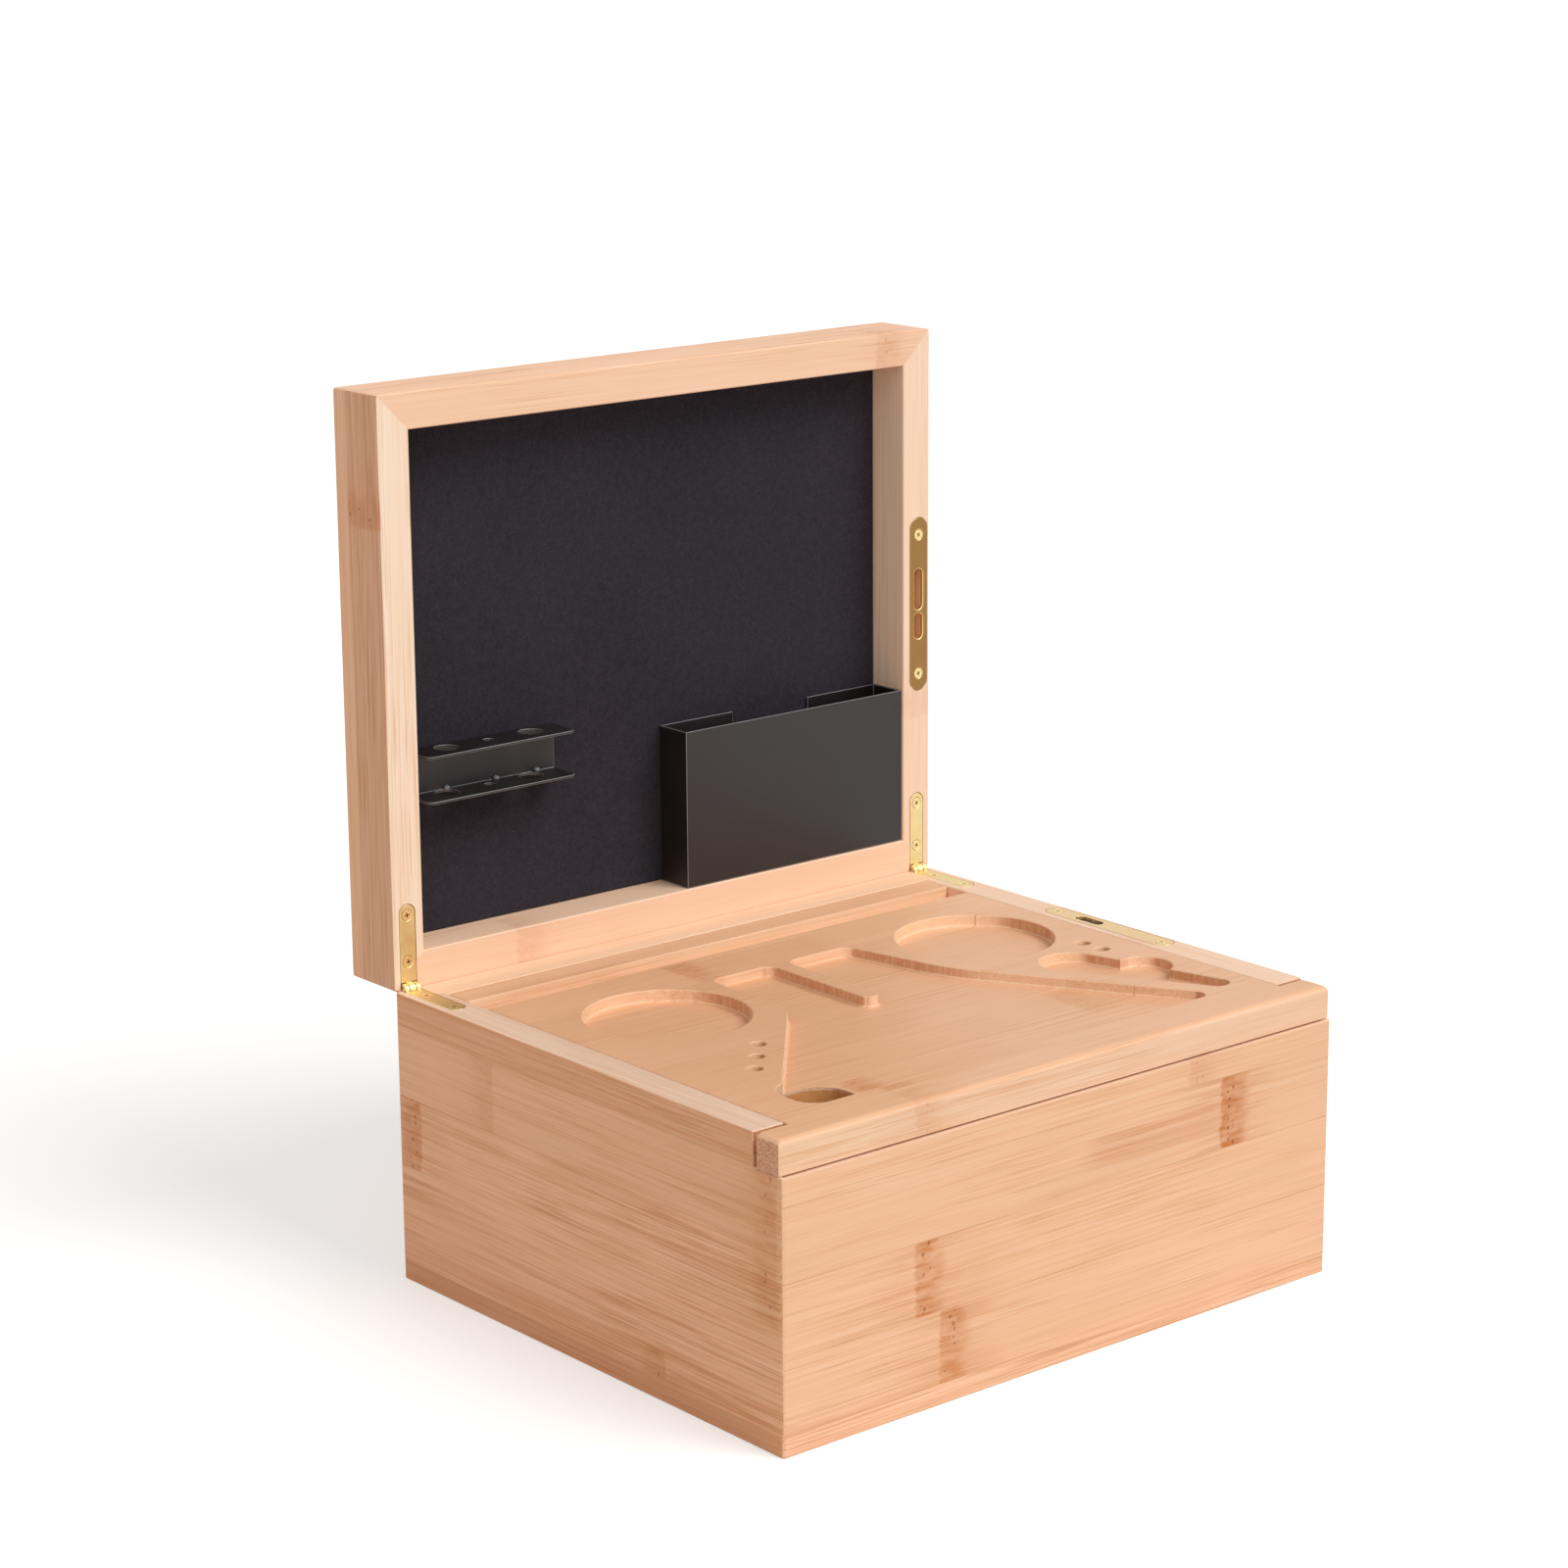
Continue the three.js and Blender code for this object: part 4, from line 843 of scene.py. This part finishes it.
def rolled_brass(name, colours, roughness):
    """Rolled brass, tumbled and clear-lacquered: warm yellow with a soft gloss, a little uneven where the
    lacquer is thin."""
    material, tree = bare_material(name)
    there = wire(tree, "TexCoord", {}, "Object")
    rub = wire(tree, "TexNoise", {"Vector": there, "Scale": 1 / (BRASS_RUB_MM * MM), "Detail": 4.0})
    dark, light = (srgb(code) for code in colours)
    least, most = (roughness + swing for swing in BRASS_ROUGHNESS_SWINGS)
    shader = wire(tree, "BsdfPrincipled", {
        "Base Color": wire(tree, "Mix", {0: rub, 6: dark, 7: light}, 2, data_type="RGBA"),
        "Metallic": 1.0,
        "Roughness": wire(tree, "MapRange", {
            "Value": rub, "From Min": 0.3, "From Max": 0.7, "To Min": least, "To Max": most}),
        "Normal": wire(tree, "Bump", {"Strength": 0.06, "Distance": 0.05 * MM, "Height": rub}),
    })
    wire(tree, "OutputMaterial", {"Surface": shader})
    return material


def cross_recess_screw(node, body, material):
    """A countersunk screw with a cross recess that narrows downwards, cut into its head at its own turn."""
    screw = eased(node, body, material, edge=SCREW_EDGE)
    low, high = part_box(node)
    centre = (low + high) / 2
    if body == "base":
        head, out = Vector((centre.x, centre.y, high.z)), Vector((0, 0, 1))
    else:
        head, out = Vector((centre.x, low.y, centre.z)), Vector((0, -1, 0))
    cutter = bmesh.new()
    for quarter in (0, math.pi / 2):
        bar = bmesh.ops.create_cube(cutter, size=1)["verts"]
        for corner in bar:
            at_top = corner.co.z > 0
            narrowed = 1.0 if at_top else RECESS_FLOOR_SHARE
            corner.co = Vector((
                corner.co.x * RECESS_LENGTH * narrowed,
                corner.co.y * RECESS_WIDTH * narrowed,
                RECESS_DEPTH if at_top else -RECESS_DEPTH,
            ))
        bmesh.ops.rotate(cutter, verts=bar, matrix=Matrix.Rotation(quarter, 3, "Z"))
    cutter_data = bpy.data.meshes.new("cross_cutter")
    cutter.to_mesh(cutter_data)
    cutter.free()
    # The recess faces take this dark brass from the cutter: painted shade
    cutter_data.materials.append(recess_brass)
    cross = bpy.data.objects.new("cross_cutter", cutter_data)
    scene.collection.objects.link(cross)
    turn = Matrix.Rotation(turn_chance.uniform(0, math.pi / 2), 4, "Z")
    cross.matrix_world = Matrix.Translation(head) @ out.to_track_quat("Z", "Y").to_matrix().to_4x4() @ turn
    cut = screw.modifiers.new("cross_recess", "BOOLEAN")
    cut.object = cross
    cut.solver = "EXACT"
    cut.use_self = True
    cut.material_mode = "TRANSFER"
    bpy.context.view_layer.update()
    finished = bpy.data.meshes.new_from_object(screw.evaluated_get(bpy.context.evaluated_depsgraph_get()))
    screw.modifiers.clear()
    screw.data = finished
    bpy.data.objects.remove(cross)
    return screw


hinge_brass = rolled_brass("lacquered_brass_hinge", HINGE_BRASS, roughness=0.46)
screw_brass = rolled_brass("lacquered_brass_screw", SCREW_BRASS, roughness=0.42)
# Painted shade for the faces of the cross recesses
recess_brass = rolled_brass("rough_brass_painted_dark_in_recess", RECESS_SHADE_BRASS, roughness=0.6)
for side in ("left", "right"):
    eased(f"{side}_hinge_base_leaf", "base", hinge_brass, edge=LEAF_EDGE)
    eased(f"{side}_hinge_lid_leaf", "lid", hinge_brass, edge=LEAF_EDGE)
    eased(f"{side}_hinge_pin", "base", hinge_brass, edge=PIN_EDGE)
    for i in (1, 2):
        cross_recess_screw(f"{side}_hinge_base_screw_{i}", "base", screw_brass)
        cross_recess_screw(f"{side}_hinge_lid_screw_{i}", "lid", screw_brass)


# The lock: a brass face plate in the right-hand board and a strike in the lid's rail, each with two screws,
# over a zinc-plated steel case with a hooked claw. The key turns a brass cylinder, and its keyhole in the
# board's outer face has a brass escutcheon. The strike's brass is darker than the hinges', partly as aged
# brass and partly as a painted dark reflection on its face; its rounded edges are in the face plate's brass.
FACE_BRASS = ("#E0B878", "#ECCB92")
# Partly aged brass, partly a painted dark reflection on the strike's face
STRIKE_BRASS_AGED_AND_SHADED = ("#93703F", "#A27C4C")
ZINC_COLOURS = ("#8F9093", "#B4B5B6")
ZINC_CLOUD_MM = 3
FACE_PLATE_EDGE = 0.15 * MM
STRIKE_EDGE = 0.4 * MM
STRIKE_OUTLINE_SHARE = 0.3
STRIKE_SLOT_REACH = (3.2 * MM, 18 * MM)
LOCK_EDGE = 0.2 * MM
strike_middle = sum(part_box("strike_plate"), Vector()) / 2


def strike_edges(line):
    """How much less than the slots' edges the strike's other edges are rounded: those of its outline and
    of its screw holes."""
    reach_x, reach_z = STRIKE_SLOT_REACH
    off = [end.co - strike_middle for end in line.verts]
    at_slot = all(abs(way.x) < reach_x and abs(way.z) < reach_z for way in off)
    return 0 if at_slot else 1 - STRIKE_OUTLINE_SHARE


def zinc_plated_steel(name):
    """Pressed steel with a bright zinc plate: light grey metal, slightly cloudy."""
    material, tree = bare_material(name)
    there = wire(tree, "TexCoord", {}, "Object")
    cloud = wire(tree, "TexNoise", {"Vector": there, "Scale": 1 / (ZINC_CLOUD_MM * MM), "Detail": 3.0})
    dark, light = (srgb(code) for code in ZINC_COLOURS)
    shader = wire(tree, "BsdfPrincipled", {
        "Base Color": wire(tree, "Mix", {0: cloud, 6: dark, 7: light}, 2, data_type="RGBA"),
        "Metallic": 1.0,
        "Roughness": wire(tree, "MapRange", {
            "Value": cloud, "From Min": 0.3, "From Max": 0.7, "To Min": 0.3, "To Max": 0.42}),
    })
    wire(tree, "OutputMaterial", {"Surface": shader})
    return material


face_brass = rolled_brass("lacquered_brass_face_plate", FACE_BRASS, roughness=0.3)
strike_brass = rolled_brass("aged_brass_strike_plate_with_painted_reflection", STRIKE_BRASS_AGED_AND_SHADED, roughness=0.34)
zinc = zinc_plated_steel("zinc_plated_steel")
eased("lock_face_plate", "base", face_brass, edge=FACE_PLATE_EDGE)
eased("strike_plate", "lid", strike_brass, edge=STRIKE_EDGE, keep=strike_edges, rim=face_brass)
for part, body in (("lock_plate_screw", "base"), ("strike_plate_screw", "lid")):
    for i in (1, 2):
        cross_recess_screw(f"{part}_{i}", body, screw_brass)
eased("keyhole_escutcheon", "base", face_brass, edge=LOCK_EDGE)
eased("key_cylinder", "key", face_brass, edge=LOCK_EDGE)
eased("lock_case", "base", zinc, edge=LOCK_EDGE)
eased("lock_claw", "claw", zinc, edge=LOCK_EDGE)
eased("lock_claw_pin", "base", zinc, edge=LOCK_EDGE)
